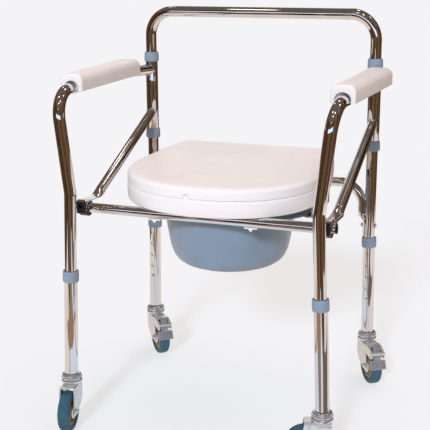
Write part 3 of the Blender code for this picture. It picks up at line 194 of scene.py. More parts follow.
@dataclass(frozen=True)
class Path:
    """A bent line: straights joined by arcs, with a direction at each of its points."""

    points: np.ndarray
    tangents: np.ndarray
    side: np.ndarray

    @classmethod
    def through(cls, corners: Sequence[Sequence[float]], bends: Sequence[float],
                side: Sequence[float], step: float = math.radians(3)) -> "Path":
        """A line through corners, each inner corner bent to its radius.

        On an arc, point = centre + bend (sin a ahead - cos a inward), and the tangent is its
        derivative.

        Args:
            corners: Points where the straights would meet.
            bends: Bend radius of each inner corner.
            side: A direction across the line, never parallel to it.
            step: Largest angle between two points of an arc.
        Returns:
            The path.
        """
        knots = np.asarray(corners, float)
        runs = unit(np.diff(knots, axis=0))
        points, tangents = [knots[:1]], [runs[:1]]
        for k, bend in enumerate(bends):
            ahead, leaving = runs[k], runs[k + 1]
            turn = math.acos(np.clip(ahead @ leaving, -1, 1))
            inward = unit(leaving - ahead * (ahead @ leaving))
            centre = knots[k + 1] - ahead * bend * math.tan(turn / 2) + inward * bend
            angles = np.linspace(0, turn, max(2, math.ceil(turn / step)) + 1)[:, None]
            points.append(centre + bend * (np.sin(angles) * ahead - np.cos(angles) * inward))
            tangents.append(np.cos(angles) * ahead + np.sin(angles) * inward)
        points.append(knots[-1:])
        tangents.append(runs[-1:])
        return cls(np.concatenate(points), np.concatenate(tangents), np.asarray(side, float))

    @property
    def marks(self) -> np.ndarray:
        """Distance along the path of each of its points."""
        return np.concatenate([[0.0], np.cumsum(np.linalg.norm(np.diff(self.points, axis=0), axis=1))])

    @property
    def length(self) -> float:
        """Length of the whole path."""
        return float(self.marks[-1])

    def at(self, places: np.ndarray) -> tuple[np.ndarray, np.ndarray, np.ndarray, np.ndarray]:
        """Reads the path at distances along it.

        Args:
            places: Distances from the start.
        Returns:
            The points, the tangents and the two directions across the path.
        """
        marks = self.marks
        centre = np.stack([np.interp(places, marks, self.points[:, i]) for i in range(3)], axis=-1)
        ahead = unit(np.stack([np.interp(places, marks, self.tangents[:, i]) for i in range(3)], axis=-1))
        across = unit(self.side - ahead * (ahead @ self.side)[:, None])
        return centre, ahead, across, np.cross(ahead, across)


def sweep(path: Path, stations: Sequence[Sequence[float]], columns: int = ROUND) -> np.ndarray:
    """The skin of a tube along a path.

    Point = centre(s) + wide(s) cos t across(s) + thick(s) sin t up(s). Between two stations the
    widths change evenly, and the path's own points are added.

    Args:
        path: The line that the tube follows.
        stations: Rows of (distance, half width, half thickness). They may run back again.
        columns: Points round the tube.
    Returns:
        A grid of points: one row for each station, one column for each angle.
    """
    table = np.asarray([(row[0], row[1], row[-1]) for row in stations], float)
    rows = [table[:1]]
    marks = path.marks
    for begin, end in zip(table[:-1], table[1:]):
        low, high = min(begin[0], end[0]), max(begin[0], end[0])
        inside = marks[(marks > low + 1e-5) & (marks < high - 1e-5)]
        if len(inside):
            inside = inside[::-1] if end[0] < begin[0] else inside
            share = ((inside - begin[0]) / (end[0] - begin[0]))[:, None]
            rows.append(begin + share * (end - begin))
        rows.append(end[None])
    table = np.concatenate(rows)
    centre, _, across, up = path.at(table[:, 0])
    angles = np.arange(columns) * TURN / columns
    wide = table[:, 1, None, None] * np.cos(angles)[None, :, None] * across[:, None]
    thick = table[:, 2, None, None] * np.sin(angles)[None, :, None] * up[:, None]
    return centre[:, None] + wide + thick


def coped(ring: np.ndarray, ahead: np.ndarray, centre: np.ndarray, radius: float) -> np.ndarray:
    """Carries each point of a tube's end along the tube until it meets an upright cylinder.

    The distance t solves |p + t d - c| = radius in plan, and the nearer root is taken.

    Args:
        ring: Points of the tube's last ring.
        ahead: Direction of the tube.
        centre: A point on the cylinder's axis.
        radius: Radius of the cylinder.
    Returns:
        The ring where it lies on the cylinder.
    """
    offset = ring[:, :2] - centre[:2]
    level = ahead[:2] @ ahead[:2]
    half = offset @ ahead[:2]
    rest = half ** 2 - level * ((offset ** 2).sum(axis=1) - radius ** 2)
    return ring + ((-half - np.sqrt(np.maximum(rest, 0))) / level)[:, None] * ahead


def pressed(start: float, run: float, flat: Sequence[float], radius: float,
            steps: int) -> list[tuple[float, float, float]]:
    """Stations of a tube that is pressed flat and grows round again by a smooth step.

    Args:
        start: Distance along the tube where it begins to grow.
        run: How far it takes.
        flat: Half width and half thickness of the pressed part.
        radius: Radius of the round part.
        steps: Number of steps.
    Returns:
        Rows of (distance, half width, half thickness).
    """
    shares = np.linspace(0, 1, steps + 1)
    sizes = [size + (radius - size) * smooth_step(shares) for size in flat]
    return list(zip(start + run * shares, *sizes))


def offset_outline(outline: np.ndarray, distance: float) -> np.ndarray:
    """Moves each point of a closed flat outline inwards, square to the line through its neighbours.

    Args:
        outline: The outline's points.
        distance: How far they move.
    Returns:
        The moved points.
    """
    following = np.roll(outline, -1, axis=0)
    ahead = unit(following - np.roll(outline, 1, axis=0))
    area = (outline[:, 0] * following[:, 1] - following[:, 0] * outline[:, 1]).sum()
    inward = left_of(ahead) * math.copysign(1.0, area)
    return outline + inward * distance


def place(origin: Sequence[float], turn: float = 0.0, axis: str = "Z") -> Matrix:
    """A matrix that turns about an axis and then moves to an origin."""
    return Matrix.Translation(tuple(origin)) @ Matrix.Rotation(turn, 4, axis)


class Skin:
    """Gathers grids and caps, and makes one mesh of them."""

    def __init__(self) -> None:
        """Starts empty."""
        self.points: list[np.ndarray] = []
        self.faces: list[list[int]] = []
        self.count = 0

    def _add(self, points: np.ndarray) -> int:
        """Stores points.

        Args:
            points: The points, in any shape of grid.
        Returns:
            The number of the first of them.
        """
        first = self.count
        self.points.append(points.reshape(-1, 3))
        self.count += len(self.points[-1])
        return first

    def grid(self, surface: np.ndarray, wrap_rows: bool = False, wrap_columns: bool = True) -> "Skin":
        """Adds a grid of points as quads.

        Args:
            surface: Rows by columns of points.
            wrap_rows: Whether the last row joins the first.
            wrap_columns: Whether the last column joins the first.
        Returns:
            The skin itself.
        """
        rows, columns = surface.shape[:2]
        index = self._add(surface) + np.arange(rows * columns).reshape(rows, columns)
        if wrap_columns:
            index = np.hstack([index, index[:, :1]])
        if wrap_rows:
            index = np.vstack([index, index[:1]])
        quads = np.stack([index[:-1, :-1], index[:-1, 1:], index[1:, 1:], index[1:, :-1]], axis=-1)
        self.faces += quads.reshape(-1, 4).tolist()
        return self

    def cap(self, ring: np.ndarray) -> "Skin":
        """Adds one flat face.

        Args:
            ring: The points round it.
        Returns:
            The skin itself.
        """
        first = self._add(ring)
        self.faces.append(list(range(first, first + len(ring))))
        return self

    def spin(self, profile: np.ndarray, axis: Axis = Axis.Z, columns: int = ROUND,
             closed: bool = False) -> "Skin":
        """Adds a profile turned about an axis: radius cos t and radius sin t across it.

        Args:
            profile: Rows of (radius, level).
            axis: The axis.
            columns: Points round the axis.
            closed: Whether the profile's last point joins its first.
        Returns:
            The skin itself.
        """
        angles = np.arange(columns) * TURN / columns
        circle = direction(angles)
        table = np.asarray(profile, float)
        return self.grid(lift(table[:, :1, None] * circle, table[:, 1:2], axis), wrap_rows=closed)

    def plate(self, outline: np.ndarray, low: float, high: float, edge: float, axis: Axis = Axis.Y) -> "Skin":
        """Adds a plate: an outline carried along an axis, with its rims rounded by a quarter circle.

        Args:
            outline: Flat points, in the plane across the axis.
            low: Lower level.
            high: Upper level.
            edge: Radius of the rims.
            axis: Direction of the thickness.
        Returns:
            The skin itself.
        """
        rim = arc((low + edge, edge), -edge, 0, 90, 3)
        levels = np.concatenate([rim, (rim * (-1, 1) + (low + high, 0))[::-1]])
        rows = [lift(offset_outline(outline, inset), level, axis) for level, inset in levels]
        return self.grid(np.stack(rows)).cap(rows[0]).cap(rows[-1])

    def moved(self, matrix: Matrix) -> "Skin":
        """Moves everything added so far.

        Args:
            matrix: The move.
        Returns:
            The skin itself.
        """
        table = np.array(matrix)
        self.points = [p @ table[:3, :3].T + table[:3, 3] for p in self.points]
        return self

    def join(self, other: "Skin") -> "Skin":
        """Adds what another skin holds.

        Args:
            other: The other skin.
        Returns:
            The skin itself.
        """
        first = self._add(np.concatenate(other.points))
        self.faces += [[first + i for i in face] for face in other.faces]
        return self

    def mesh(self, name: str, origin: np.ndarray, sharp: float) -> bpy.types.Mesh:
        """Makes the mesh, with doubles merged, faces turned outwards and smooth shading.

        Args:
            name: Name of the mesh.
            origin: The chair's place, added to every point.
            sharp: Edges sharper than this angle, in degrees, stay sharp.
        Returns:
            The mesh.
        """
        mesh = bpy.data.meshes.new(name)
        mesh.from_pydata((np.concatenate(self.points) + origin).tolist(), [], self.faces)
        work = bmesh.new()
        work.from_mesh(mesh)
        bmesh.ops.remove_doubles(work, verts=work.verts, dist=MERGE)
        bmesh.ops.recalc_face_normals(work, faces=work.faces)
        work.to_mesh(mesh)
        work.free()
        mesh.shade_smooth()
        mesh.set_sharp_from_angle(angle=math.radians(sharp))
        return mesh


def bead(line: np.ndarray, first: np.ndarray, second: np.ndarray, radius: float, ripples: int) -> np.ndarray:
    """A weld bead laid along a closed line in the corner between two surfaces.

    Point = line + r (cos t a + sin t b), where a and b are square to each other and lie in the plane
    of the two surfaces' outward directions. The radius r swells and shrinks once for each ripple.

    Args:
        line: Points of the closed line.
        first: Outward direction of one surface at each point.
        second: Outward direction of the other surface.
        radius: Radius of the bead.
        ripples: Number of ripples round the line.
    Returns:
        A grid that closes both ways.
    """
    a = unit(first)
    b = unit(second - a * (second * a).sum(axis=1)[:, None])
    share = np.arange(len(line)) / len(line)
    swell = radius * (1 + BEAD_SWELL * np.sin(TURN * ripples * share))[:, None, None]
    angles = (np.arange(BEAD_SIDES) * TURN / BEAD_SIDES)[None, :, None]
    return line[:, None] + swell * (np.cos(angles) * a[:, None] + np.sin(angles) * b[:, None])


def welded_mouth(path: Path, ring: np.ndarray, stop: float, sleeve: np.ndarray, radius: float, weld: float,
                 ripples: int) -> tuple[np.ndarray, np.ndarray]:
    """Where a tube ends on an upright sleeve, and the weld bead round that line.

    Args:
        path: The tube's centre line.
        ring: The tube's ring at stop.
        stop: Distance along the path where the tube's last straight run is cut.
        sleeve: A point on the sleeve's axis.
        radius: Radius of the sleeve, with the gap.
        weld: Radius of the bead.
        ripples: Number of its ripples.
    Returns:
        The tube's last ring, and the bead as a grid that closes both ways.
    """
    ahead = path.at(np.array([path.length]))[1][0]
    mouth = coped(ring, ahead, sleeve, radius)
    offset = mouth - path.at(np.array([stop]))[0]
    outward = offset - (offset @ ahead)[:, None] * ahead
    return mouth, bead(mouth, outward, (mouth - sleeve) * (1, 1, 0), weld, ripples)


def linear(code: str) -> tuple[float, float, float, float]:
    """Turns an sRGB hex colour to linear, with alpha one."""
    channels = [int(code[i:i + 2], 16) / 255 for i in (1, 3, 5)]
    return (*[c / 12.92 if c <= 0.04045 else ((c + 0.055) / 1.055) ** 2.4 for c in channels], 1.0)


def add_node(tree: NodeTree, kind: str, inputs: dict | None = None, **settings: object) -> Node:
    """Adds a node.

    Args:
        tree: The node tree.
        kind: Blender's name of the node type.
        inputs: Socket name or number, with a value or the output socket to link from.
        settings: Attributes of the node.
    Returns:
        The node.
    """
    node = tree.nodes.new(kind)
    for key, value in settings.items():
        setattr(node, key, value)
    for key, value in (inputs or {}).items():
        if isinstance(value, NodeSocket):
            tree.links.new(value, node.inputs[key])
        else:
            node.inputs[key].default_value = value
    return node


def spread(tree: NodeTree, value: NodeSocket, low: float, high: float, least: float = 0.0,
           most: float = 1.0) -> NodeSocket:
    """Maps a value that runs from low to high to one that runs from least to most."""
    return add_node(tree, "ShaderNodeMapRange", {
        "Value": value, "From Min": low, "From Max": high, "To Min": least, "To Max": most}).outputs[0]


def either(tree: NodeTree, first: NodeSocket, second: NodeSocket) -> NodeSocket:
    """The larger of two values."""
    return add_node(tree, "ShaderNodeMath", {0: first, 1: second}, operation="MAXIMUM").outputs[0]


def bare_tree(owner: Material | World) -> NodeTree:
    """Empties a node tree.

    Args:
        owner: The material or world.
    Returns:
        Its node tree.
    """
    owner.use_nodes = True
    owner.node_tree.nodes.clear()
    return owner.node_tree


def add_object(name: str, data: ID, material: Material | None = None) -> Object:
    """Puts an object in the scene.

    Args:
        name: Its name.
        data: Its mesh, lamp or camera.
        material: Its material, or None.
    Returns:
        The object.
    """
    item = bpy.data.objects.new(name, data)
    bpy.context.scene.collection.objects.link(item)
    if material:
        data.materials.append(material)
    return item


@dataclass(frozen=True)
class Finish:
    """A surface finish: two close colours in soft patches, a gloss that varies, and a fine grain.

    Attributes:
        name: The material's common name.
        slot: The record's material slot. Not used.
        colour: Main colour.
        shade: Colour of the soft patches.
        patch_mm: Size of the patches.
        gloss: Lowest and highest roughness.
        grain_mm: Size of the grain.
        grain_depth_mm: Height of the grain.
        metallic: 1 for metal, 0 for the rest.
    """

    name: str
    slot: str
    colour: str
    shade: str
    patch_mm: float
    gloss: tuple[float, float]
    grain_mm: float
    grain_depth_mm: float
    metallic: float = 0.0

    def roughness(self, tree: NodeTree, where: NodeSocket,
                  patches: NodeSocket) -> NodeSocket:
        """The roughness, which follows the soft patches."""
        return spread(tree, patches, 0.3, 0.7, *self.gloss)

    def dress(self, shader: Node) -> None:
        """Sets what only some finishes have. The plain finish has nothing of the kind."""

    def material(self) -> Material:
        """Makes the material when it is first asked for.

        Returns:
            The material.
        """
        found = bpy.data.materials.get(self.name)
        if found:
            return found
        material = bpy.data.materials.new(self.name)
        material.use_nodes = True
        tree = material.node_tree
        shader = tree.nodes["Principled BSDF"]
        where = add_node(tree, "ShaderNodeTexCoord").outputs["Object"]
        patches = add_node(tree, "ShaderNodeTexNoise", {
            "Vector": where, "Scale": 1000 / self.patch_mm, "Detail": 4.0, "Roughness": 0.6}).outputs["Fac"]
        tint = add_node(tree, "ShaderNodeMix", {
            "Factor": spread(tree, patches, 0.35, 0.65), 6: linear(self.colour), 7: linear(self.shade)},
            data_type="RGBA")
        grain = add_node(tree, "ShaderNodeTexNoise", {
            "Vector": where, "Scale": 1000 / self.grain_mm, "Detail": 3.0}).outputs["Fac"]
        bump = add_node(tree, "ShaderNodeBump", {
            "Height": grain, "Strength": 1.0, "Distance": self.grain_depth_mm / 1000})
        tree.links.new(tint.outputs[2], shader.inputs["Base Color"])
        tree.links.new(self.roughness(tree, where, patches), shader.inputs["Roughness"])
        tree.links.new(bump.outputs[0], shader.inputs["Normal"])
        shader.inputs["Metallic"].default_value = self.metallic
        self.dress(shader)
        return material


@dataclass(frozen=True)
class ZincPlate(Finish):
    """Plated sheet steel: bright grey with faint crystal patches, each with its own gloss."""

    crystal_mm: float = 5.0

    def roughness(self, tree: NodeTree, where: NodeSocket,
                  patches: NodeSocket) -> NodeSocket:
        """The roughness: each crystal has its own.

        Args:
            tree: The material's node tree.
            where: The place on the piece.
            patches: The soft patches. Not used: the crystals stand in for them.
        Returns:
            The roughness.
        """
        cells = add_node(tree, "ShaderNodeTexVoronoi", {"Vector": where, "Scale": 1000 / self.crystal_mm})
        value = add_node(tree, "ShaderNodeSeparateColor", {0: cells.outputs["Color"]})
        return spread(tree, value.outputs[0], 0.0, 1.0, *self.gloss)


@dataclass(frozen=True)
class MouldedPlastic(Finish):
    """Moulded plastic: a satin skin with a spark-eroded grain and a little light under the skin.

    Attributes:
        scatter_mm: How deep light goes in, or 0 for no such light.
        scatter_share: Share of the light that goes in.
    """

    scatter_mm: float = 0.0
    scatter_share: float = 0.15

    def dress(self, shader: Node) -> None:
        """Sets the light that goes a little way into the plastic."""
        if self.scatter_mm:
            shader.inputs["Subsurface Weight"].default_value = self.scatter_share
            shader.inputs["Subsurface Scale"].default_value = self.scatter_mm / 1000


# Bright chrome plating on polished steel tube: a mirror with faint haze and finger marks
CHROME = Finish("chrome_plate", "chrome", "#E6E5E4", "#DFDEDD", 60, (0.03, 0.06), 9.0, 0.0012, 1.0)
# Zinc plating on pressed steel: paler and softer than the chrome, with faint crystals
ZINC = ZincPlate("zinc_plate", "zinc", "#E2E1DD", "#D3D3CF", 12, (0.10, 0.20), 0.8, 0.003, 0.60)
# Bright nickel on the castors' turned and pressed rings: sharper than the zinc, with a slight haze
POLISHED = Finish("bright_nickel_plate", "zinc", "#E3E4E6", "#D6D9DD", 20, (0.07, 0.13), 3.0, 0.0012, 0.82)
# Steel of the brake pedals: darker plating with a dull grey-violet cast
PEDAL = ZincPlate("pedal_plate", "pedal_steel", "#B5B8C0", "#A5A8B1", 10, (0.20, 0.34), 0.8, 0.005, 0.60)
# Injection-moulded seat and pads: off-white, satin, with a fine eroded grain that dulls the light
SEAT = MouldedPlastic("moulded_seat_plastic", "seat_plastic", "#F0EDEC", "#ECE8E7", 90, (0.36, 0.46), 0.9,
                      0.010, scatter_mm=1.2)
PAD = MouldedPlastic("moulded_pad_plastic", "pad_plastic", "#EFECEB", "#EAE6E5", 70, (0.38, 0.50), 0.9,
                     0.012, scatter_mm=1.2)
# Grey-blue moulded collars: duller, with a coarser grain
COLLAR = MouldedPlastic("moulded_collar_plastic", "collar_plastic", "#8A9AAA", "#8192A2", 14, (0.40, 0.55),
                        0.7, 0.015)
# Blow-moulded bucket: grey-blue, smoother, slightly see-through at its skin
BUCKET = MouldedPlastic("moulded_bucket_plastic", "bucket_plastic", "#8397AA", "#7E91A3", 60, (0.26, 0.36),
                        1.5, 0.008, scatter_mm=1.5)
# Black nylon of the cradles and liners
LINER = MouldedPlastic("black_nylon", "liner_plastic", "#1B1B1E", "#242427", 10, (0.40, 0.60), 0.6, 0.02)
# Tyre: teal thermoplastic rubber, matt, with a fine tooth
TYRE = Finish("tyre_rubber_skin", "tyre_rubber", "#345E70", "#2C5364", 12, (0.50, 0.68), 0.5, 0.02)
# Wheel core: tan moulded nylon
CORE = MouldedPlastic("tan_nylon", "core_plastic", "#A9906A", "#9A8058", 12, (0.38, 0.52), 0.7, 0.012)


class Workshop:
    """Makes the pieces, gives them their finish and body, and reports them."""

    def __init__(self, origin: np.ndarray) -> None:
        """Keeps the chair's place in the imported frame."""
        self.origin = origin

    def make(self, name: str, skin: Skin, finish: Finish, body: str, node: str = "", at: str = "",
             sharp: float = 35.0) -> Object:
        """Makes one piece.

        Args:
            name: The piece's name.
            skin: Its surfaces, in the chair's frame.
            finish: Its finish.
            body: The CAD body that it rides on.
            node: The CAD node that it stands for, or none.
            at: Side or corner of a repeated piece. The names of the piece, of its node and of any body
                but the frame end with it.
            sharp: Edges sharper than this angle, in degrees, stay sharp.
        Returns:
            The piece's object, at the origin.
        """
        tail = f"_{at}" if at else ""
        piece = add_object(name + tail, skin.mesh(name + tail, self.origin, sharp), finish.material())
        carrier = body if body == "frame" else body + tail
        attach(piece, carrier)
        if node:
            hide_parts(node + tail)
        LOG.info("%s: %d points on %s", piece.name, len(piece.data.vertices), carrier)
        return piece

    def carve(self, piece: Object, tools: Sequence[Skin]) -> None:
        """Cuts skins from a piece with an exact Boolean and keeps the result as its mesh.

        Args:
            piece: The piece to cut.
            tools: Closed skins, in the chair's frame.
        """
        cutters = [add_object("cutter", tool.mesh("cutter", self.origin, 40.0)) for tool in tools]
        for cutter in cutters:
            modifier = piece.modifiers.new(cutter.name, "BOOLEAN")
            modifier.operation = "DIFFERENCE"
            modifier.solver = "EXACT"
            modifier.object = cutter
        bpy.context.view_layer.update()
        shaped = bpy.data.meshes.new_from_object(piece.evaluated_get(bpy.context.evaluated_depsgraph_get()))
        piece.modifiers.clear()
        old = piece.data
        piece.data = shaped
        bpy.data.meshes.remove(old)
        for cutter in cutters:
            bpy.data.objects.remove(cutter, do_unlink=True)

    def keep(self, finish: Finish, *nodes: str) -> None:
        """Gives CAD nodes that stay a finish of their own.

        Args:
            finish: The finish.
            nodes: Names of the nodes.
        """
        for node in nodes:
            kept = frame["nodes"][node]
            kept.data.materials.clear()
            kept.data.materials.append(finish.material())


def straighten_normals(piece: Object, point: np.ndarray, ahead: np.ndarray) -> None:
    """Points a tube's normals straight away from its axis, so that holes don't dent the reflections.

    Args:
        piece: A straight tube.
        point: A point on its axis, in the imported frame.
        ahead: Direction of the axis.
    """
    mesh = piece.data
    corner_points = np.empty(len(mesh.loops), np.int32)
    mesh.loops.foreach_get("vertex_index", corner_points)
    places = np.empty(len(mesh.vertices) * 3)
    mesh.vertices.foreach_get("co", places)
    normals = np.empty(len(mesh.polygons) * 3)
    mesh.polygons.foreach_get("normal", normals)
    totals = np.empty(len(mesh.polygons), np.int32)
    mesh.polygons.foreach_get("loop_total", totals)
    offset = places.reshape(-1, 3) - point
    outward = unit(offset - (offset @ ahead)[:, None] * ahead)[corner_points]
    face = np.repeat(normals.reshape(-1, 3), totals, axis=0)
    match = (face * outward).sum(axis=1)
    chosen = np.where(match[:, None] > 0.9, outward, 0.0)
    chosen = np.where(match[:, None] < -0.9, -outward, chosen)
    mesh.normals_split_custom_set(chosen.tolist())


@dataclass(frozen=True)
class Layout:
    """Sizes that several sub-assemblies share.

    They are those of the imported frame, but for leg_bottom: the photo's leg tubes run 8 mm further
    down, to the castors' heads.
    """

    tube: float = 0.022
    outer_tube: float = 0.025
    bar_tube: float = 0.019
    wall: float = 0.0012
    gap: float = 0.0003
    upright: float = 0.2375
    rear_kink_height: float = 0.3085
    rear_splay: float = math.radians(0.9)
    front_leg: float = 0.2292
    depth: float = 0.395
    kink_height: float = 0.452
    front_splay: float = math.radians(2.32)
    arm_height: float = 0.632
    arm_outset: float = 0.0205
    rear_knee: float = 0.080
    front_bar_y: float = -0.335
    front_bar_height: float = 0.412
    rear_bar_height: float = 0.41698
    inner_tube_end: float = 0.155
    leg_bottom: float = 0.1042
    leg_top: float = 0.3035
    lowest_hole: float = 0.175
    hole_pitch: float = 0.025
    sleeve_bottom: float = 0.5063
    sleeve_top: float = 0.6477
    seat_slope: float = math.radians(2.1)
    collar_diameter: float = 0.030

    def leg_offset(self, height: float) -> float:
        """How far a front leg stands from the middle plane below its kink."""
        return self.front_leg + (self.kink_height - height) * math.tan(self.front_splay)

    def rear_offset(self, height: float) -> float:
        """How far a rear leg stands from the middle plane below its kink."""
        return self.upright + (self.rear_kink_height - height) * math.tan(self.rear_splay)

    @property
    def seat_height(self) -> float:
        """Height of the seat ring's underside above y = 0."""
        return (self.front_bar_height + self.bar_tube / 2 + 0.0005
                - self.front_bar_y * math.tan(self.seat_slope))

    @property
    def seat(self) -> Matrix:
        """Place of the tilted seat."""
        return place((0, 0, self.seat_height), self.seat_slope, "X")

    def in_seat(self, y: float, z: float) -> tuple[float, float]:
        """A point of the chair as (y, z) in the tilted seat's frame."""
        point = self.seat.inverted() @ Matrix.Translation((0, y, z)).to_translation()
        return point.y, point.z


LAYOUT = Layout()


# How far past the end of its bore a tube's outside has a station of its own
BORE_LAP = 0.004


def pipe_ends(length: float, radius: float, wall: float, depth: float = 0.030) -> list[tuple[float, float]]:
    """Stations of a tube whose open ends show its wall and a bore.

    Args:
        length: Length of the tube's path.
        radius: Outer radius.
        wall: Wall of the tube.
        depth: Depth of the bore at each end.
    Returns:
        Rows of (distance, radius).
    """
    bore = radius - wall
    lip = wall * 0.3
    half = [(depth, 0), (depth, bore), (0, bore), (0, radius - lip), (lip, radius),
            (depth + BORE_LAP, radius)]
    return half + [(length - s, r) for s, r in half[::-1]]


@dataclass
class BackFrame:
    """The back rail with both uprights in one tube, the sleeves on it and their collars."""

    layout: Layout = LAYOUT
    rail_height: float = 0.752
    rail_bend: float = 0.050
    kink_bend: float = 0.060
    collar_height: float = 0.020
    collar_taper: float = 0.0008
    collar_round: float = 0.0018
    rivet: float = 0.0052
    rivet_proud: float = 0.0022
    rivet_root: float = 0.0020

    def rivets(self) -> Skin:
        """The stop rivets beyond the collars, on the +X side of each upright.

        A head is the quarter oval (radius cos a, proud sin a), turned about its axis.

        Returns:
            Their skin.
        """
        lay = self.layout
        radius = self.rivet / 2
        profile = chain((0, -self.rivet_root), (radius, -self.rivet_root),
                        arc((0, 0), (radius, self.rivet_proud), 0, 90, 6))
        beyond = lay.gap + self.collar_height + self.rivet * 0.8
        skin = Skin()
        for side in SIDES.values():
            for height in (lay.sleeve_top + beyond, lay.sleeve_bottom - beyond):
                spot = place((side * lay.upright + lay.tube / 2, 0, height), math.pi / 2, "Y")
                skin.join(Skin().spin(profile, columns=20).moved(spot))
        return skin

    def rail(self) -> Skin:
        """The bent tube with its rivets.

        Returns:
            Its skin.
        """
        lay = self.layout
        half = np.array([(lay.rear_offset(lay.inner_tube_end), 0, lay.inner_tube_end),
                         (lay.upright, 0, lay.rear_kink_height), (lay.upright, 0, self.rail_height)])
        corners = np.concatenate([half * (-1, 1, 1), half[::-1]])
        bends = [self.kink_bend, self.rail_bend, self.rail_bend, self.kink_bend]
        path = Path.through(corners, bends, (0, 1, 0))
        tube = Skin().grid(sweep(path, pipe_ends(path.length, lay.tube / 2, lay.wall)))
        return tube.join(self.rivets())

    def collar(self, bottom: float) -> np.ndarray:
        """Profile of a collar: slightly barrel-shaped, with rounded rims.

        Args:
            bottom: Height of its lower rim.
        Returns:
            Rows of (radius, height).
        """
        lay = self.layout
        inner, wide = lay.tube / 2 + lay.gap, lay.collar_diameter / 2
        middle, top = bottom + self.collar_height / 2, bottom + self.collar_height
        return fillet([(inner, bottom), (wide, bottom), (wide, middle), (wide - self.collar_taper, top),
                       (inner, top)], self.collar_round)

    def build(self, shop: Workshop) -> None:
        """Makes the rail, the sleeves and the collars.

        Args:
            shop: Makes the pieces.
        """
        lay = self.layout
        rail = shop.make("rail_tube", self.rail(), CHROME, "frame", "back_frame")
        shop.carve(rail, [Leg(f"rear_{name}").drill(0) for name in SIDES])
        sleeve = fillet(box(lay.tube / 2 + lay.gap, lay.sleeve_bottom, lay.outer_tube / 2, lay.sleeve_top),
                        0.0004, steps=2)
        collars = {"upper": lay.sleeve_top + lay.gap,
                   "lower": lay.sleeve_bottom - lay.gap - self.collar_height}
        for name, side in SIDES.items():
            upright = place((side * lay.upright, 0, 0))
            tube = Skin().spin(sleeve, closed=True).moved(upright)
            shop.make("sleeve_tube", tube, CHROME, "frame", "sleeve", name)
            for level, bottom in collars.items():
                ring = Skin().spin(self.collar(bottom), closed=True).moved(upright)
                shop.make(f"{level}_stop_ring", ring, COLLAR, "frame", f"{level}_collar", name, sharp=50.0)


@dataclass
class SideFrame:
    """A front leg and arm in one bent tube, welded to its sleeve, with the stub for the cradle."""

    name: str
    side: int
    layout: Layout = LAYOUT
    kink_bend: float = 0.060
    arm_bend: float = 0.050
    rear_bend: float = 0.060
    bore_depth: float = 0.030
    last_run: float = 0.032
    weld: float = 0.0019
    ripples: int = 22
    stub: float = 0.016
    stub_rise: float = 0.0070
    socket: float = 0.0090
    socket_depth: float = 0.0035
    cradle_front: float = 0.0212

    @property
    def path(self) -> Path:
        """The tube's centre line."""
        lay, side = self.layout, self.side
        corners = [(side * lay.leg_offset(lay.inner_tube_end), -lay.depth, lay.inner_tube_end),
                   (side * lay.front_leg, -lay.depth, lay.kink_height),
                   (side * (lay.front_leg + lay.arm_outset), -lay.depth, lay.arm_height),
                   (side * (lay.upright + lay.arm_outset), -lay.rear_knee, lay.arm_height),
                   (side * lay.upright, 0, lay.arm_height)]
        return Path.through(corners, [self.kink_bend, self.arm_bend, self.rear_bend], (1, 0, 0))

    def tube(self) -> Skin:
        """The tube, coped to the sleeve, with its weld bead and stub.

        Returns:
            Its skin.
        """
        lay, path = self.layout, self.path
        radius, bore = lay.tube / 2, lay.tube / 2 - lay.wall
        stop = path.length - self.last_run
        rows = sweep(path, [(self.bore_depth, 0), (self.bore_depth, bore), (0, bore), (0, radius),
                            (self.bore_depth + BORE_LAP, radius), (stop, radius)])
        inner_ring = sweep(path, [(stop, bore)])[0]
        sleeve = np.array([self.side * lay.upright, 0, 0])
        reach = lay.outer_tube / 2 + lay.gap
        mouths = [welded_mouth(path, ring, stop, sleeve, reach, self.weld, self.ripples)
                  for ring in (rows[-1], inner_ring)]
        middle = np.repeat(path.at(np.array([stop]))[0], ROUND, axis=0)
        skin = Skin().grid(np.concatenate([rows, [mouths[0][0], mouths[1][0], inner_ring, middle]]))
        return skin.grid(mouths[0][1], wrap_rows=True).join(self.cradle_stub())

    def cradle_stub(self) -> Skin:
        """The stub behind the front leg, with its weld and the socket in its end.

        Returns:
            Its skin.
        """
        lay = self.layout
        level = lay.front_bar_height + self.stub_rise
        radius = self.stub / 2
        root = -lay.depth + lay.tube / 2 - lay.wall
        face = lay.front_bar_y - self.cradle_front - lay.gap
        deep = face + self.socket_depth
        profile = fillet([(0, root), (radius * 0.7, root), (radius + 0.0012, root + 0.0030),
                          (radius, root + 0.0046), (radius, face), (self.socket / 2, face),
                          (self.socket / 2, deep), (0, deep)],
                         0.0004, closed=False, steps=2)
        return Skin().spin(profile, Axis.Y, 32).moved(place((self.side * lay.leg_offset(level), 0, level)))

    def build(self, shop: Workshop) -> None:
        """Makes the tube and cuts the hole of its snap button."""
        tube = shop.make("arm_tube", self.tube(), CHROME, "frame", "side_tube", self.name)
        shop.carve(tube, [Leg(f"front_{self.name}").drill(0)])


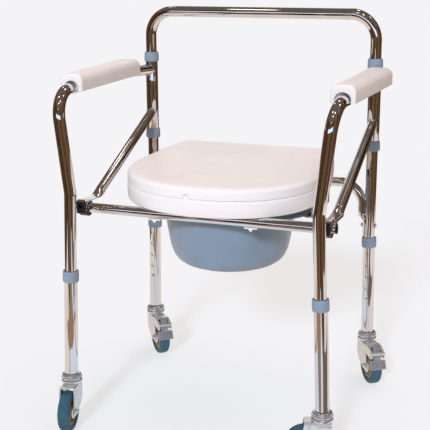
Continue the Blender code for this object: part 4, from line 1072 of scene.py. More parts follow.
@dataclass
class Brace:
    """The sloping brace: coped on its sleeve, pressed flat at its foot and hooked over the bar."""

    name: str
    side: int
    layout: Layout = LAYOUT
    strap_width: float = 0.024
    strap_sheet: float = 0.0024
    liner_sheet: float = 0.0026
    strap_from: float = math.radians(-50)
    strap_to: float = math.radians(192)
    flat: float = 0.0044
    foot_outset: float = 0.0027
    foot_bend: float = 0.030
    foot_round: float = 0.0008
    crimp_back: float = 0.052
    crimp_rise: float = 0.0095
    crimp_run: float = 0.004
    blend: float = 0.026
    last_run: float = 0.040
    head_height: float = 0.544
    weld: float = 0.0017
    ripples: int = 20

    def hoop(self, low: float, high: float, start: float, end: float, width: float) -> np.ndarray:
        """A strip bent round the bar.

        Its section is a rounded rectangle of (across, radius), carried round the bar by the angle.

        Args:
            low: Inner radius.
            high: Outer radius.
            start: First angle.
            end: Last angle.
            width: Width of the strip.
        Returns:
            A grid that closes across the strip. Its two ends are drawn together.
        """
        section = fillet(box(-width / 2, low, width / 2, high), (high - low) * 0.35, steps=3)
        middle = section.mean(axis=0)
        angles = np.concatenate([[start] * 2, np.linspace(start, end, 40), [end] * 2])
        share = np.ones(len(angles))
        share[[0, -1]] = 0.0
        share[[1, -2]] = 0.85
        flat = middle + (section - middle)[None] * share[:, None, None]
        circle = direction(angles)[:, None]
        across_bar = (self.layout.front_bar_y, self.layout.front_bar_height) + flat[..., 1:] * circle
        return lift(across_bar, flat[..., 0], Axis.X)

    @property
    def foot_x(self) -> float:
        """Where the foot stands on the front bar."""
        return self.side * (self.layout.leg_offset(self.layout.front_bar_height) + self.foot_outset)

    def tube(self) -> Skin:
        """The tube with its flat foot and its weld at the sleeve.

        Returns:
            Its skin.
        """
        lay = self.layout
        radius, thin, wide = lay.bar_tube / 2, self.flat / 2, self.strap_width / 2 * 0.97
        top = radius + lay.gap + self.strap_sheet + self.liner_sheet
        foot = (self.foot_x, lay.front_bar_y, lay.front_bar_height + top - self.flat * 0.55)
        crimp = (self.foot_x, lay.front_bar_y + self.crimp_back, lay.front_bar_height + self.crimp_rise)
        head = (self.side * lay.upright, 0, self.head_height)
        path = Path.through([foot, crimp, head], [self.foot_bend], (1, 0, 0))
        stop = path.length - self.last_run
        soft = self.foot_round
        stations = [(0, 0, 0), (0, wide - 0.001, thin - soft), (soft, wide, thin)]
        stations += pressed(path.marks[1] + self.crimp_run, self.blend, (wide, thin), radius, 12)
        rows = sweep(path, stations + [(stop, radius, radius)])
        sleeve = np.array([self.side * lay.upright, 0, 0])
        mouth, weld = welded_mouth(path, rows[-1], stop, sleeve, lay.outer_tube / 2 + lay.gap, self.weld,
                                   self.ripples)
        middle = np.tile(mouth.mean(axis=0), (ROUND, 1))
        return Skin().grid(np.concatenate([rows, [mouth, middle]])).grid(weld, wrap_rows=True)

    def build(self, shop: Workshop) -> None:
        """Makes the brace with its strap, and the black liner inside the strap.

        Args:
            shop: Makes the pieces.
        """
        inner = self.layout.bar_tube / 2 + self.layout.gap
        middle = inner + self.liner_sheet
        across = place((self.foot_x, 0, 0))
        strap = self.hoop(middle, middle + self.strap_sheet, self.strap_from, self.strap_to, self.strap_width)
        skin = self.tube().join(Skin().grid(strap).moved(across))
        shop.make("brace_tube", skin, CHROME, "frame", "brace", self.name)
        lining = self.hoop(inner, middle, self.strap_from + 0.06, self.strap_to - 0.03,
                           self.strap_width - 0.0008)
        shop.make("strap_liner", Skin().grid(lining).moved(across), LINER, "frame", at=self.name)


@dataclass
class Crossbars:
    """The straight front bar, the rear arch with its saddles, and the bolts of the arch."""

    layout: Layout = LAYOUT
    overhang: float = 0.0032
    knee_inset: float = 0.016
    arch_bend: float = 0.0465
    arch_end: float = 0.3095
    foot_bend: float = 0.02
    bore_depth: float = 0.05
    saddle_depth: float = 0.012
    saddle_width: float = 0.0238
    saddle_proud: float = 0.0026
    bolt_height: float = 0.331
    shoulder: float = 0.012
    shoulder_blend: float = 0.013
    bolt: float = 0.0050
    bolt_head: float = 0.0100
    bolt_head_height: float = 0.0028
    washer: float = 0.0009
    nut: float = 0.0090
    nut_height: float = 0.0035

    def front_bar(self) -> Skin:
        """The open tube across the front.

        Returns:
            Its skin.
        """
        lay = self.layout
        half = lay.leg_offset(lay.front_bar_height) + self.overhang
        ends = [(x, lay.front_bar_y, lay.front_bar_height) for x in (-half, half)]
        path = Path.through(ends, [], (0, 1, 0))
        return Skin().grid(sweep(path, pipe_ends(path.length, lay.bar_tube / 2, lay.wall, self.bore_depth)))

    def arch(self) -> Skin:
        """The arch. Its feet are pressed to saddles, and where they meet an upright they follow it.

        Returns:
            Its skin.
        """
        lay = self.layout
        radius, deep, wide = lay.bar_tube / 2, self.saddle_depth / 2, self.saddle_width / 2
        reach = lay.tube / 2 + lay.gap
        saddle = lay.upright - reach - self.saddle_proud + deep
        knee = lay.upright - self.knee_inset
        shoulder = self.bolt_height + self.shoulder
        blend = shoulder + self.shoulder_blend
        half = np.array([(saddle, 0, self.arch_end), (saddle, 0, shoulder), (knee, 0, blend),
                         (knee, 0, lay.rear_bar_height)])
        bends = [self.foot_bend, self.foot_bend, self.arch_bend]
        path = Path.through(np.concatenate([half * (-1, 1, 1), half[::-1]]), bends + bends[::-1], (0, 1, 0))
        foot = shoulder - self.arch_end
        slope = math.hypot(saddle - knee, blend - shoulder)
        begin = [(0, 0, 0), (0, wide - 0.002, deep - 0.001), (0.001, wide, deep)]
        begin += pressed(foot, slope, (wide, deep), radius, 8)
        surface = sweep(path, begin + [(path.length - s, a, b) for s, a, b in begin[::-1]])
        limit = lay.upright - np.sqrt(np.maximum(reach ** 2 - surface[..., 1] ** 2, 0))
        low = surface[..., 2] < blend + 0.01
        across = np.abs(surface[..., 0])
        surface[..., 0] = np.where(low & (across > limit), np.sign(surface[..., 0]) * limit, surface[..., 0])
        return Skin().grid(surface)

    def bolt_set(self, side: int) -> Skin:
        """A bolt along X: domed head with its washer outside, hexagon nut inside.

        Args:
            side: -1 for the left one, 1 for the right one.
        Returns:
            Its skin.
        """
        lay = self.layout
        inside = lay.upright - lay.tube / 2 - 2 * lay.gap - self.saddle_proud
        outside = lay.upright + lay.tube / 2 + lay.gap
        head, shank, seat = self.bolt_head / 2, self.bolt / 2, outside + self.washer
        profile = chain((0, inside - 0.004), (shank, inside - 0.0035), (shank, outside), (head, outside),
                        (head, seat - 0.0002), (head * 0.92, seat),
                        arc((0, seat), (head * 0.92, self.bolt_head_height - self.washer), 0, 90, 6))
        nut = fillet(arc((0, 0), self.nut / 2, 0, 300, 5), 0.0004, steps=2)
        skin = Skin().spin(profile, Axis.X, 32).plate(nut, inside - self.nut_height, inside, 0.0004, Axis.X)
        if side < 0:
            skin.moved(Matrix.Rotation(math.pi, 4, "Z"))
        return skin.moved(place((0, 0, self.bolt_height)))

    def build(self, shop: Workshop) -> None:
        """Makes both bars and the bolts, and gives the CAD's cradles, rails and pin their finish.

        Args:
            shop: Makes the pieces.
        """
        shop.make("front_bar", self.front_bar(), CHROME, "frame", "front_crossbar")
        shop.make("rear_arch", self.arch(), CHROME, "frame", "rear_crossbar", sharp=50.0)
        for name, side in SIDES.items():
            shop.make("arch_bolt", self.bolt_set(side), ZINC, "frame", "crossbar_bolt", name)
        shop.keep(LINER, "cradle_left", "cradle_right")
        shop.keep(ZINC, "bucket_rail_left", "bucket_rail_right", "lid_hinge_pin")


@dataclass
class ArmPad:
    """A hard pad over the arm, wider at the back, with a channel for the tube and a flared mouth."""

    frame: SideFrame
    front_y: float = -0.337
    rear_y: float = -0.060
    front_inset: float = 0.0015
    rear_outset: float = 0.0010
    front_width: float = 0.0435
    rear_width: float = 0.0520
    above: float = 0.027
    below: float = 0.0045
    corner: float = 0.0140
    edge: float = 0.0016
    channel_from: float = 0.4
    mouth_round: float = 0.0012
    mouth: float = 0.0285
    mouth_depth: float = 0.0070
    front_round: tuple[float, float] = (0.0045, 0.0050)
    rear_round: tuple[float, float] = (0.0140, 0.0100)

    def ends(self) -> tuple[np.ndarray, np.ndarray]:
        """The pad's middle line.

        Returns:
            Its front and rear points.
        """
        lay, side = self.frame.layout, self.frame.side
        front_arm, rear_arm = lay.front_leg + lay.arm_outset, lay.upright + lay.arm_outset
        share = (self.front_y + lay.depth) / (lay.depth - lay.rear_knee)
        front_x = front_arm + (rear_arm - front_arm) * share - self.front_inset
        return (np.array([side * front_x, self.front_y, lay.arm_height]),
                np.array([side * (rear_arm + self.rear_outset), self.rear_y, lay.arm_height]))

    def section(self, width: float, inset: float) -> np.ndarray:
        """Section as (across, up): large rounds above, small ones along the bottom edge.

        Args:
            width: Full width.
            inset: How far it is drawn in, at an end.
        Returns:
            Half of it and then the other half, one point a row.
        """
        wide, top, low = width / 2 - inset, self.above - inset, -self.below
        half = chain(arc((-wide + self.edge, low + self.edge), self.edge, 270, 180, 4),
                     arc((-wide + self.corner, top - self.corner), self.corner, 180, 90, 14))
        return mirrored(half, (-1, 1))

    def body(self) -> Skin:
        """The pad as a stack of sections. Its ends are rounded by a quarter oval.

        Returns:
            Its skin.
        """
        front, rear = self.ends()
        length = float(np.linalg.norm(rear - front))
        (front_run, front_drop), (rear_run, rear_drop) = self.front_round, self.rear_round
        begin = arc((front_run, front_drop), (-front_run, -front_drop), 0, 90, 8)
        end = arc((length - rear_run, rear_drop), (rear_run, -rear_drop), 0, 90, 8)
        rows = []
        for distance, inset in chain(begin, end[::-1]):
            share = distance / length
            width = self.front_width + (self.rear_width - self.front_width) * share
            rows.append(front + (rear - front) * share + lift(self.section(width, inset), axis=Axis.Y))
        return Skin().grid(np.stack(rows)).cap(rows[0]).cap(rows[-1])

    def build(self, shop: Workshop) -> None:
        """Makes the pad and cuts its channel and mouth.

        Args:
            shop: Makes the pieces.
        """
        pad = shop.make("pad_shell", self.body(), PAD, "frame", "arm_pad", self.frame.name, sharp=40.0)
        path, lay = self.frame.path, self.frame.layout
        radius, end = lay.tube / 2 + lay.gap, path.length - 0.005
        stations = [(self.channel_from, 0), (self.channel_from, radius), (end, radius), (end, 0)]
        channel = Skin().grid(sweep(path, stations, 40))
        wide, soft = self.mouth / 2, self.mouth_round
        profile = chain((0, -0.01), (wide + soft, -0.01), arc((wide + soft, soft), soft, 270, 180, 4),
                        (wide, self.mouth_depth), (0, self.mouth_depth))
        shop.carve(pad, [channel, Skin().spin(profile, Axis.Y).moved(place(self.ends()[0]))])


@dataclass
class Seat:
    """The seat ring with its clips and hinge posts, and the lid over it."""

    layout: Layout = LAYOUT
    front_power: float = 2 / 2.25
    side_power: float = 1.8
    roll_power: float = 2 / 2.3
    roll_height: float = 0.55
    hinge_play: float = 0.0006
    pocket_slope: float = 0.0015
    hook_reach: float = 0.0030
    hook_lip: float = 0.0022
    barb_height: float = 0.0048
    edge: float = 0.0004
    back: float = 0.008
    length: float = 0.375
    width: float = 0.375
    back_width: float = 0.326
    widest: float = 0.205
    corner: float = 0.018
    ring_height: float = 0.031
    ring_round: float = 0.0050
    wall: float = 0.0032
    hole_width: float = 0.230
    hole_length: float = 0.262
    hole_centre: float = -0.192
    hole_round: float = 0.0040
    skirt_bottom: float = 0.0100
    lid_height: float = 0.0215
    lid_back: float = 0.0115
    lid_round: float = 0.0160
    lid_crown: float = 0.0020
    lid_inset: float = 0.0012
    hinge_ahead: float = 0.0060
    post: float = 0.014
    post_depth: float = 0.0100
    post_top: float = 0.0052
    knuckle: float = 0.013
    knuckle_length: float = 0.110
    pocket_ahead: float = 0.0095
    pocket_play: float = 0.0012
    clip_width: float = 0.024
    clip_spacing: float = 0.184
    clip_sheet: float = 0.0034
    rear_clip_spacing: float = 0.220
    notch_x: float = -0.0175
    notch_width: float = 0.0150
    notch_height: float = 0.0072
    notch_play: float = 0.0007

    def outline(self, inset: float) -> np.ndarray:
        """Plan of the seat: straight back, sides that spread forwards, and a round front.

        The front half is |sin t|^p and |cos t|^p, with p the front power. The sides narrow to the
        back by share^q, with q the side power. Points run from the front middle round the +X side to
        the back and home again, and lie closer together round the notch.

        Args:
            inset: How far the outline is drawn in.
        Returns:
            Plan points, one a row.
        """
        centre = self.back - self.widest
        front = self.length - self.widest - inset
        wide, narrow = self.width / 2 - inset, self.back_width / 2 - inset
        corner = self.corner - inset * 0.5
        rear = self.back - inset
        turn = np.union1d((np.arange(44) + 0.5) / 44 * math.pi / 2, np.linspace(0.015, 0.16, 30))
        bow = (wide, -front) * rows_of(np.sin(turn), np.cos(turn)) ** self.front_power
        share = np.arange(24) / 24
        flank = rows_of(wide - (wide - narrow) * share ** self.side_power,
                        centre + (rear - corner - centre) * share)
        steps = np.arange(1, 60) / 59.5
        end = rows_of((narrow - corner) * (1 - steps), rear)
        turned_in = arc((narrow - corner, rear - corner), corner, 0, 90, 8)
        return mirrored(chain((0, centre) + bow, flank, turned_in, end), (-1, 1))

    def oval(self, extra: float) -> np.ndarray:
        """An oval round the hole's centre, each point in line with one of the outline.

        Args:
            extra: How much wider and longer than the hole it is.
        Returns:
            Plan points, one a row.
        """
        plan = self.outline(0)
        middle = self.back - self.length / 2
        angle = np.arctan2((plan[:, 1] - middle) / self.length, plan[:, 0] / self.width)
        half = np.array([self.hole_width + extra, self.hole_length + extra]) / 2
        return (0, self.hole_centre) + half * direction(angle)

    def ring(self) -> Skin:
        """The ring: a shell that is open below, with a skirt round its hole.

        Returns:
            Its skin.
        """
        soft, top, wall, skirt = self.ring_round, self.ring_height, self.wall, self.skirt_bottom
        hole = self.hole_round
        outside = chain((soft * 0.3, 0), (soft * 0.1, soft * 0.4),
                        arc((soft, top - soft), (-soft, soft), 0, 90, 6))
        inside = chain(arc((2 * hole, top - hole), (-2 * hole, hole), 90, 0, 6), (0, skirt),
                       (2 * wall, skirt), (2 * wall, top - wall))
        rows = [lift(self.outline(inset), height) for inset, height in outside]
        rows += [lift(self.oval(extra), height) for extra, height in inside]
        rows += [lift(self.outline(wall), height) for height in (top - wall, 0)]
        return Skin().grid(np.stack(rows), wrap_rows=True)

    def clips(self) -> Skin:
        """Front hooks with their barbs, and rear saddles that sit on the arch.

        Returns:
            Their skin.
        """
        lay, sheet = self.layout, self.clip_sheet
        bar = lay.bar_tube / 2
        y, z = lay.in_seat(lay.front_bar_y, lay.front_bar_height)
        rear_y, rear_z = lay.in_seat(0, lay.rear_bar_height)
        inside = self.ring_height - self.wall / 2
        behind, foot = y + bar + 0.0007, z - bar - 0.0010
        low = foot - self.hook_lip
        tip = y - self.hook_reach
        hook = fillet([(behind, inside), (behind, foot), (tip, foot), (tip, low), (behind + sheet, low),
                       (behind + sheet, inside)], 0.0006, steps=2)
        ahead, back = rear_y - bar - 0.0040, rear_y + 0.0060
        bow = arc((rear_y, rear_z), bar + 0.0005, 168, 12, 20)
        bow = bow[bow[:, 0] < back - 0.0004]
        saddle = chain((ahead, inside), (ahead, rear_z), (bow[0, 0], rear_z), bow, (back, bow[-1, 1]),
                       (back, inside))
        half = self.clip_width / 2
        skin = Skin()
        for side in SIDES.values():
            x = side * self.clip_spacing / 2
            skin.plate(hook, x - half, x + half, self.edge, Axis.X)
            barb = np.array([(-0.0045, 0.0003), (0.0045, 0.0003), (0.0010, -self.barb_height),
                             (-0.0010, -self.barb_height)]) + (x, low)
            skin.plate(fillet(barb, 0.0005, steps=2), y - 0.0024, y + 0.0030, 0.0003)
            x = side * self.rear_clip_spacing / 2
            skin.plate(saddle, x - half, x + half, self.edge, Axis.X)
        return skin

    @property
    def hinge(self) -> tuple[float, float]:
        """The hinge axis, as (y, z) in the seat's frame."""
        return self.back - self.lid_back + self.hinge_ahead, self.ring_height + self.knuckle / 2 + 0.0008

    @property
    def post_x(self) -> float:
        """How far a post's middle lies from the seat's."""
        return self.knuckle_length / 2 + self.post / 2 + self.hinge_play

    def posts(self) -> Skin:
        """The two posts that carry the hinge pin: upright plates with a round top.

        Returns:
            Their skin.
        """
        y, z = self.hinge
        half, inside = self.post_depth / 2, self.ring_height - self.wall / 2
        top = arc((y, z + self.post_top - half), half, 180, 0, 14)
        outline = chain((y - half, inside), top, (y + half, inside))
        skin = Skin()
        for side in SIDES.values():
            x = side * self.post_x
            skin.plate(outline, x - self.post / 2, x + self.post / 2, 0.0010, Axis.X)
        return skin

    def lid_loop(self, inset: float, share: float = 1.0) -> np.ndarray:
        """Plan of the lid, with its straight rear edge and two post pockets.

        Args:
            inset: How far the outline is drawn in.
            share: 1 for the outline itself, 0 for the lid's middle.
        Returns:
            Plan points, one a row.
        """
        plan = self.outline(inset + self.lid_inset)
        edge = self.back - self.lid_back - inset
        off = np.abs(np.abs(plan[:, 0]) - self.post_x)
        room = self.post / 2 + self.pocket_play
        pocket = np.clip((room + self.pocket_slope - off) / self.pocket_slope, 0, 1)
        cut = self.hinge[0] - self.pocket_ahead - 0.5 * inset
        plan[:, 1] = np.minimum(plan[:, 1], edge + (min(cut, edge) - edge) * pocket)
        centre = np.array([0.0, self.hole_centre])
        return centre + (plan - centre) * share

    def lid(self) -> Skin:
        """The lid: a crowned shell whose side rolls into its top, with a finger notch in its rim.

        The side goes up and then in by a quarter of a superellipse. The top rises to its crown, and
        each of its loops is a (share of the lid's outline, share of the crown). The notch lifts the
        rim by arch(x), which fades out where the side starts to roll.

        Returns:
            Its skin, with the hinge's knuckle.
        """
        low = self.ring_height + 0.0006
        top = low + self.lid_height
        soft, wall, crown = self.lid_round, self.wall, self.lid_crown
        high, inner = self.roll_height * soft, top - wall
        turn = np.linspace(0, math.pi / 2, 13)
        quarter = direction(turn) ** self.roll_power
        roll = (soft, top - high) + (-soft, high) * quarter
        side = chain((0, low), (0, low + 0.002), roll)
        rows = [lift(self.lid_loop(inset), height) for inset, height in side]
        rows += [lift(self.lid_loop(soft, share), top + crown * rise)
                 for share, rise in ((0.80, 0.30), (0.55, 0.62), (0.30, 0.86), (0.12, 0.97), (0, 1))]
        rows += [lift(self.lid_loop(soft, share), inner + crown * rise)
                 for share, rise in ((0, 1), (0.3, 0.86), (0.8, 0.30), (1, -0.5))]
        rows += [lift(self.lid_loop(inset), height)
                 for inset, height in ((wall + crown, inner - soft * 0.3), (wall, low + 0.002), (wall, low))]
        surface = np.stack(rows)
        front = surface[..., 1] < self.back - self.length * 0.8
        rim = np.clip(1 - (surface[..., 2] - low) / (self.lid_height - high), 0, 1)
        surface[..., 2] += self.arch(surface[..., 0]) * front * rim
        half = self.knuckle_length / 2
        profile = fillet(box(0, -half, self.knuckle / 2, half), 0.0010, closed=False)
        knuckle = Skin().spin(profile, Axis.X, 32).moved(place((0, *self.hinge)))
        return Skin().grid(surface, wrap_rows=True).join(knuckle)

    def arch(self, x: np.ndarray) -> np.ndarray:
        """Height of the notch at x: a smooth step up and down, with a flat top."""
        share = (self.notch_width / 2 - np.abs(x - self.notch_x)) / (self.notch_width * 0.28)
        return self.notch_height * smooth_step(np.clip(share, 0, 1))

    def lug(self) -> Skin:
        """The lug on the ring that fills the notch, flush with the lid's side.

        Returns:
            Its skin.
        """
        low = self.ring_height - 0.002
        x = np.linspace(-1, 1, 25) * (self.notch_width / 2 - self.notch_play * 1.4) + self.notch_x
        high = self.ring_height + np.maximum(self.arch(x) - self.notch_play, 0.0)
        face = self.outline(self.lid_inset)[:, 1].min()
        outline = chain((x[0], low), rows_of(x, high), (x[-1], low))
        return Skin().plate(outline, face + 0.0002, face + 0.0036, 0.0003)

    def build(self, shop: Workshop) -> None:
        """Makes the ring with its clips and posts, and the lid.

        Args:
            shop: Makes the pieces.
        """
        ring = self.ring().join(self.clips()).join(self.posts()).join(self.lug()).moved(self.layout.seat)
        shop.make("seat_shell", ring, SEAT, "frame", "seat_ring")
        shop.make("seat_cover", self.lid().moved(self.layout.seat), SEAT, "lid", "lid", sharp=40.0)


@dataclass
class Bucket:
    """The bucket: a deep bowl that rolls into its floor, with a wide oval flange."""

    top: float = 0.4035
    centre_y: float = -0.180
    depth: float = 0.115
    diameter: float = 0.256
    wall: float = 0.0025
    floor_inset: float = 0.058
    flange_width: float = 0.344
    flange_length: float = 0.272
    flange: float = 0.0032
    rim_round: float = 0.0012

    def profile(self) -> np.ndarray:
        """The bowl's outside, from the floor's middle to the rim.

        The corner is drawn in from the rim's radius by floor_inset and lifted off the floor, along
        points that share the curve of the mould, joined by a smooth arc.

        Returns:
            Rows of (radius, level).
        """
        inward = np.array([1.0, 0.86, 0.71, 0.56, 0.43, 0.34, 0.267, 0.218, 0.181, 0.12, 0.06, 0.0])
        upward = np.array([0.0, 0.003, 0.013, 0.043, 0.091, 0.154, 0.235, 0.325, 0.417, 0.60, 0.80, 0.972])
        side = rows_of(self.diameter / 2 - self.floor_inset * inward, -self.depth * (1 - upward))
        return chain((0, -self.depth), side)

    def loops(self, profile: np.ndarray, reach: float = 0.0) -> np.ndarray:
        """Round or oval loops: (radius + reach * what the flange is wider) times (cos t, sin t).

        Args:
            profile: Rows of (radius, level).
            reach: 0 for round loops, 1 for the flange's full oval.
        Returns:
            A grid of points: one row for each loop.
        """
        angles = np.arange(96) * TURN / 96
        circle = direction(angles)
        wider = (np.array([self.flange_width, self.flange_length]) - self.diameter) / 2 * reach
        return lift((profile[:, :1, None] + wider) * circle, profile[:, 1:2])

    def build(self, shop: Workshop) -> None:
        """Makes the bucket as one wall that goes round the bowl and the flange.

        Args:
            shop: Makes the piece.
        """
        outside = self.profile()
        ahead = np.gradient(outside, axis=0)
        inward = unit(left_of(ahead))
        inside = np.maximum(outside + inward * self.wall, (0.0, -1.0))
        rim, soft, under = self.diameter / 2, self.rim_round, self.flange
        inside[0, 0] = 0.0
        inside[-1] = (rim - self.wall, -0.0008)
        edge = np.array([(rim - soft, -under), (rim - 0.3 * soft, 0.3 * soft - under), (rim, -under / 2),
                         (rim - 0.3 * soft, -0.3 * soft), (rim - soft, 0.0)])
        lip = np.array([(rim - self.wall + 0.0008, 0.0)])
        surface = np.concatenate([self.loops(outside), self.loops(edge, 1.0), self.loops(lip),
                                  self.loops(inside[::-1])])
        skin = Skin().grid(surface).moved(place((0, self.centre_y, self.top)))
        shop.make("bucket_bowl", skin, BUCKET, "bucket", "bucket", sharp=45.0)


@dataclass
class Leg:
    """A lower leg: the outer tube with its row of holes, its collar and the snap button."""

    corner: str
    layout: Layout = LAYOUT
    holes: int = 5
    hole: float = 0.0086
    drill_from: float = 0.006
    drill_to: float = 0.016
    button: float = 0.0080
    button_proud: float = 0.0030
    collar_height: float = 0.021
    collar_lip: float = 0.0032

    @property
    def facing(self) -> int:
        """+1 where the holes face backwards, as on the front legs."""
        return 1 if self.corner.startswith("front") else -1

    def axis_place(self) -> Matrix:
        """Place of the leg's own frame: z up the leg's axis, from where that meets the floor.

        Returns:
            The place.
        """
        lay = self.layout
        side = SIDES[self.corner.split("_")[1]]
        front = self.corner.startswith("front")
        offset = lay.leg_offset(0) if front else lay.rear_offset(0)
        lean = lay.front_splay if front else lay.rear_splay
        return place((side * offset, -lay.depth if front else 0, 0), -side * lean, "Y")

    def drill(self, k: int) -> Skin:
        """The rod that cuts a hole.

        Args:
            k: The hole's number, counted from the lowest.
        Returns:
            Its skin.
        """
        level = self.layout.lowest_hole + k * self.layout.hole_pitch
        profile = box(0, self.drill_from, self.hole / 2, self.drill_to) * (1, self.facing)
        return Skin().spin(profile, Axis.Y, 32).moved(place((0, 0, level))).moved(self.axis_place())

    def collar(self) -> np.ndarray:
        """Profile of the collar, which laps over the tube's top.

        Returns:
            Rows of (radius, height).
        """
        lay = self.layout
        outer, inner, wide = lay.outer_tube / 2 + lay.gap, lay.tube / 2 + lay.gap, lay.collar_diameter / 2
        seat = lay.leg_top + lay.gap
        top = seat + self.collar_lip
        bottom = top - self.collar_height
        return fillet([(outer, bottom), (wide - 0.0004, bottom), (wide, bottom + 0.010), (wide - 0.0006, top),
                       (inner, top), (inner, seat), (outer, seat)], 0.0014)

    def build(self, shop: Workshop) -> None:
        """Makes the tube and cuts its holes, and makes the collar and the button in the lowest hole.

        Args:
            shop: Makes the pieces.
        """
        lay = self.layout
        here = self.axis_place()
        outer, inner = lay.outer_tube / 2, lay.tube / 2 + lay.gap
        outline = fillet(box(inner, lay.leg_bottom, outer, lay.leg_top), 0.0003, steps=2)
        tube = Skin().spin(outline, columns=64, closed=True).moved(here)
        piece = shop.make("leg_tube", tube, CHROME, "leg", "lower_leg", self.corner)
        shop.carve(piece, [self.drill(k) for k in range(self.holes)])
        straighten_normals(piece, np.array(here.to_translation()) + shop.origin, np.array(here.col[2][:3]))
        ring = Skin().spin(self.collar(), closed=True).moved(here)
        shop.make("leg_ring", ring, COLLAR, "leg", "leg_collar", self.corner, sharp=50.0)
        radius, inside = self.button / 2, lay.tube / 2 - lay.wall
        profile = chain((0, inside), (radius, inside), arc((0, outer), (radius, self.button_proud), 8, 90, 8))
        button = Skin().spin(profile * (1, self.facing), Axis.Y, 24).moved(place((0, 0, lay.lowest_hole)))
        shop.make("leg_button", button.moved(here), ZINC, "button", "snap_button", self.corner)


def joint(name: str) -> dict:
    """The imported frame's joint of that name."""
    return next(j for j in frame["joints"] if j["name"] == name)


@dataclass
class Castor:
    """A swivel castor: head, fork, wheel, and on the rear ones a hood and a brake pedal."""

    corner: str
    layout: Layout = LAYOUT
    wheel: float = 0.075
    tyre_width: float = 0.0215
    tyre_shoulder: float = 0.0055
    core: float = 0.053
    hub: float = 0.0285
    axle: float = 0.0060
    axle_head: float = 0.0110
    axle_head_height: float = 0.0040
    trail: float = 0.029
    sheet: float = 0.0025
    side_gap: float = 0.0017
    ahead: float = 0.0160
    behind_axle: float = 0.0020
    shoulder: float = 0.0270
    lobe: float = 0.0088
    strip: float = 0.0085
    strip_step: float = 0.0009
    strip_proud: float = 0.0007
    crown_under: float = 0.083
    crown_top: float = 0.093
    crown: float = 0.039
    race: float = 0.0390
    dome: float = 0.0365
    dome_height: float = 0.0050
    kingpin: float = 0.0080
    kingpin_head: float = 0.0150
    plug: float = 0.0185
    plug_length: float = 0.030
    pedal_clearance: float = 0.0056
    pedal_bearing: float = math.radians(47.2)
    pedal_pin: float = 0.0052
    pedal_width: float = 0.033
    pedal_sheet: float = 0.0018
    plate_head: tuple[float, float] = (0.0055, -0.0085)
    plate_foot: tuple[float, float] = (0.0120, -0.0256)
    tab_width: float = 0.0155
    tab_height: float = 0.0205
    hood_flat: float = 0.0150
    hood_sheet: float = 0.0023
    race_bulge: float = 0.0017
    fork_bend: float = 0.0045
    rib: float = 0.0006

    @property
    def braked(self) -> bool:
        """Whether this castor has a brake."""
        return self.corner.startswith("rear")

    @property
    def inner(self) -> float:
        """Half the space between the cheeks."""
        return self.tyre_width / 2 + self.side_gap

    @property
    def outer(self) -> float:
        """Half the width across the cheeks."""
        return self.inner + self.sheet

    @property
    def axle_level(self) -> float:
        """Height of the axle."""
        return self.wheel / 2

    def here(self, shop: Workshop) -> Matrix:
        """Place of the castor's own frame: swivel axis on z, wheel towards +x, as the frame has it.

        Args:
            shop: Knows where the chair stands.
        Returns:
            The place.
        """
        swivel = np.array(joint(f"swivel_{self.corner}")["pos_m"])
        spin = np.array(joint(f"wheel_spin_{self.corner}")["pos_m"])
        heading = math.atan2(spin[1] - swivel[1], spin[0] - swivel[0])
        return place((swivel[0] - shop.origin[0], swivel[1] - shop.origin[1], 0), heading)

    def head(self) -> Skin:
        """Stem and race: a dome that spreads from the tube over a bright bulging ring.

        Returns:
            Their skin.
        """
        lay = self.layout
        top = lay.leg_bottom - lay.gap - lay.outer_tube / 2 * math.sin(lay.front_splay)
        collar, wide, race = lay.outer_tube / 2 + 0.0004, self.dome / 2, self.race / 2
        plug, pin, pin_head = self.plug / 2, self.kingpin / 2, self.kingpin_head / 2
        under, end, bulge = self.crown_under - lay.gap, top + self.plug_length, self.race_bulge
        high, low = top - self.dome_height - 0.0003, self.crown_top + 0.0004
        profile = chain((0, end), (plug - 0.001, end), (plug, end - 0.001), (plug, top),
                        arc((collar, top - self.dome_height), (wide - collar, self.dome_height), 90, 0, 12),
                        arc((race - bulge, (high + low) / 2), (bulge, (high - low) / 2), 90, -90, 16),
                        (pin, self.crown_top + lay.gap), (pin, under), (pin_head, under),
                        (pin_head * 0.9, under - 0.0016), (pin_head * 0.5, under - 0.0022),
                        (0, under - 0.0022))
        return Skin().spin(profile)

    def cheek_line(self) -> tuple[np.ndarray, np.ndarray]:
        """Front and rear edges of the fork's side view.

        The front edge falls straight to the shoulder, then follows a quarter oval to the round lobe
        under the axle. The rear edge falls almost straight to the lobe.

        Returns:
            Two tables of (height, x), from the lowest point up.
        """
        axle = (self.trail, self.axle_level)
        top = self.crown_under + self.sheet
        lobe = arc(axle, self.lobe, 215, 270, 8)
        wide, drop = lobe[0, 0] + self.ahead, top - self.shoulder - lobe[0, 1]
        taper = arc((lobe[0, 0], top - self.shoulder), (-wide, -drop), 0, 90, 11)[:-1]
        front = chain((-self.ahead, top), taper, lobe)[::-1]
        back = chain(arc(axle, self.lobe, 270, 350, 10), (axle[0] + self.lobe * 0.97, axle[1] + self.lobe),
                     (self.trail + self.behind_axle, top))
        return front[:, ::-1], back[:, ::-1]

    def fork_sheet(self) -> Skin:
        """The fork as one bent sheet with a wall.

        Across the sheet, u runs up one cheek, over the top through two bends and down the other. Along
        it, x runs from the front edge to the rear edge at that height. The cheeks are pressed in by a
        little, all but a strip along the rear edge. The inner skin lies one thickness inside the outer.

        Returns:
            Its skin.
        """
        bend, top, outer = self.fork_bend, self.crown_under + self.sheet, self.outer
        front, back = self.cheek_line()
        lowest = self.axle_level - self.lobe
        heights = lowest + (top - bend - lowest) * (1 - np.cos(np.linspace(0, math.pi / 2, 12)))
        over = arc((0, 0), 1.0, 0, 90, 6)[1:]
        pressed_in = np.arange(15) < 9

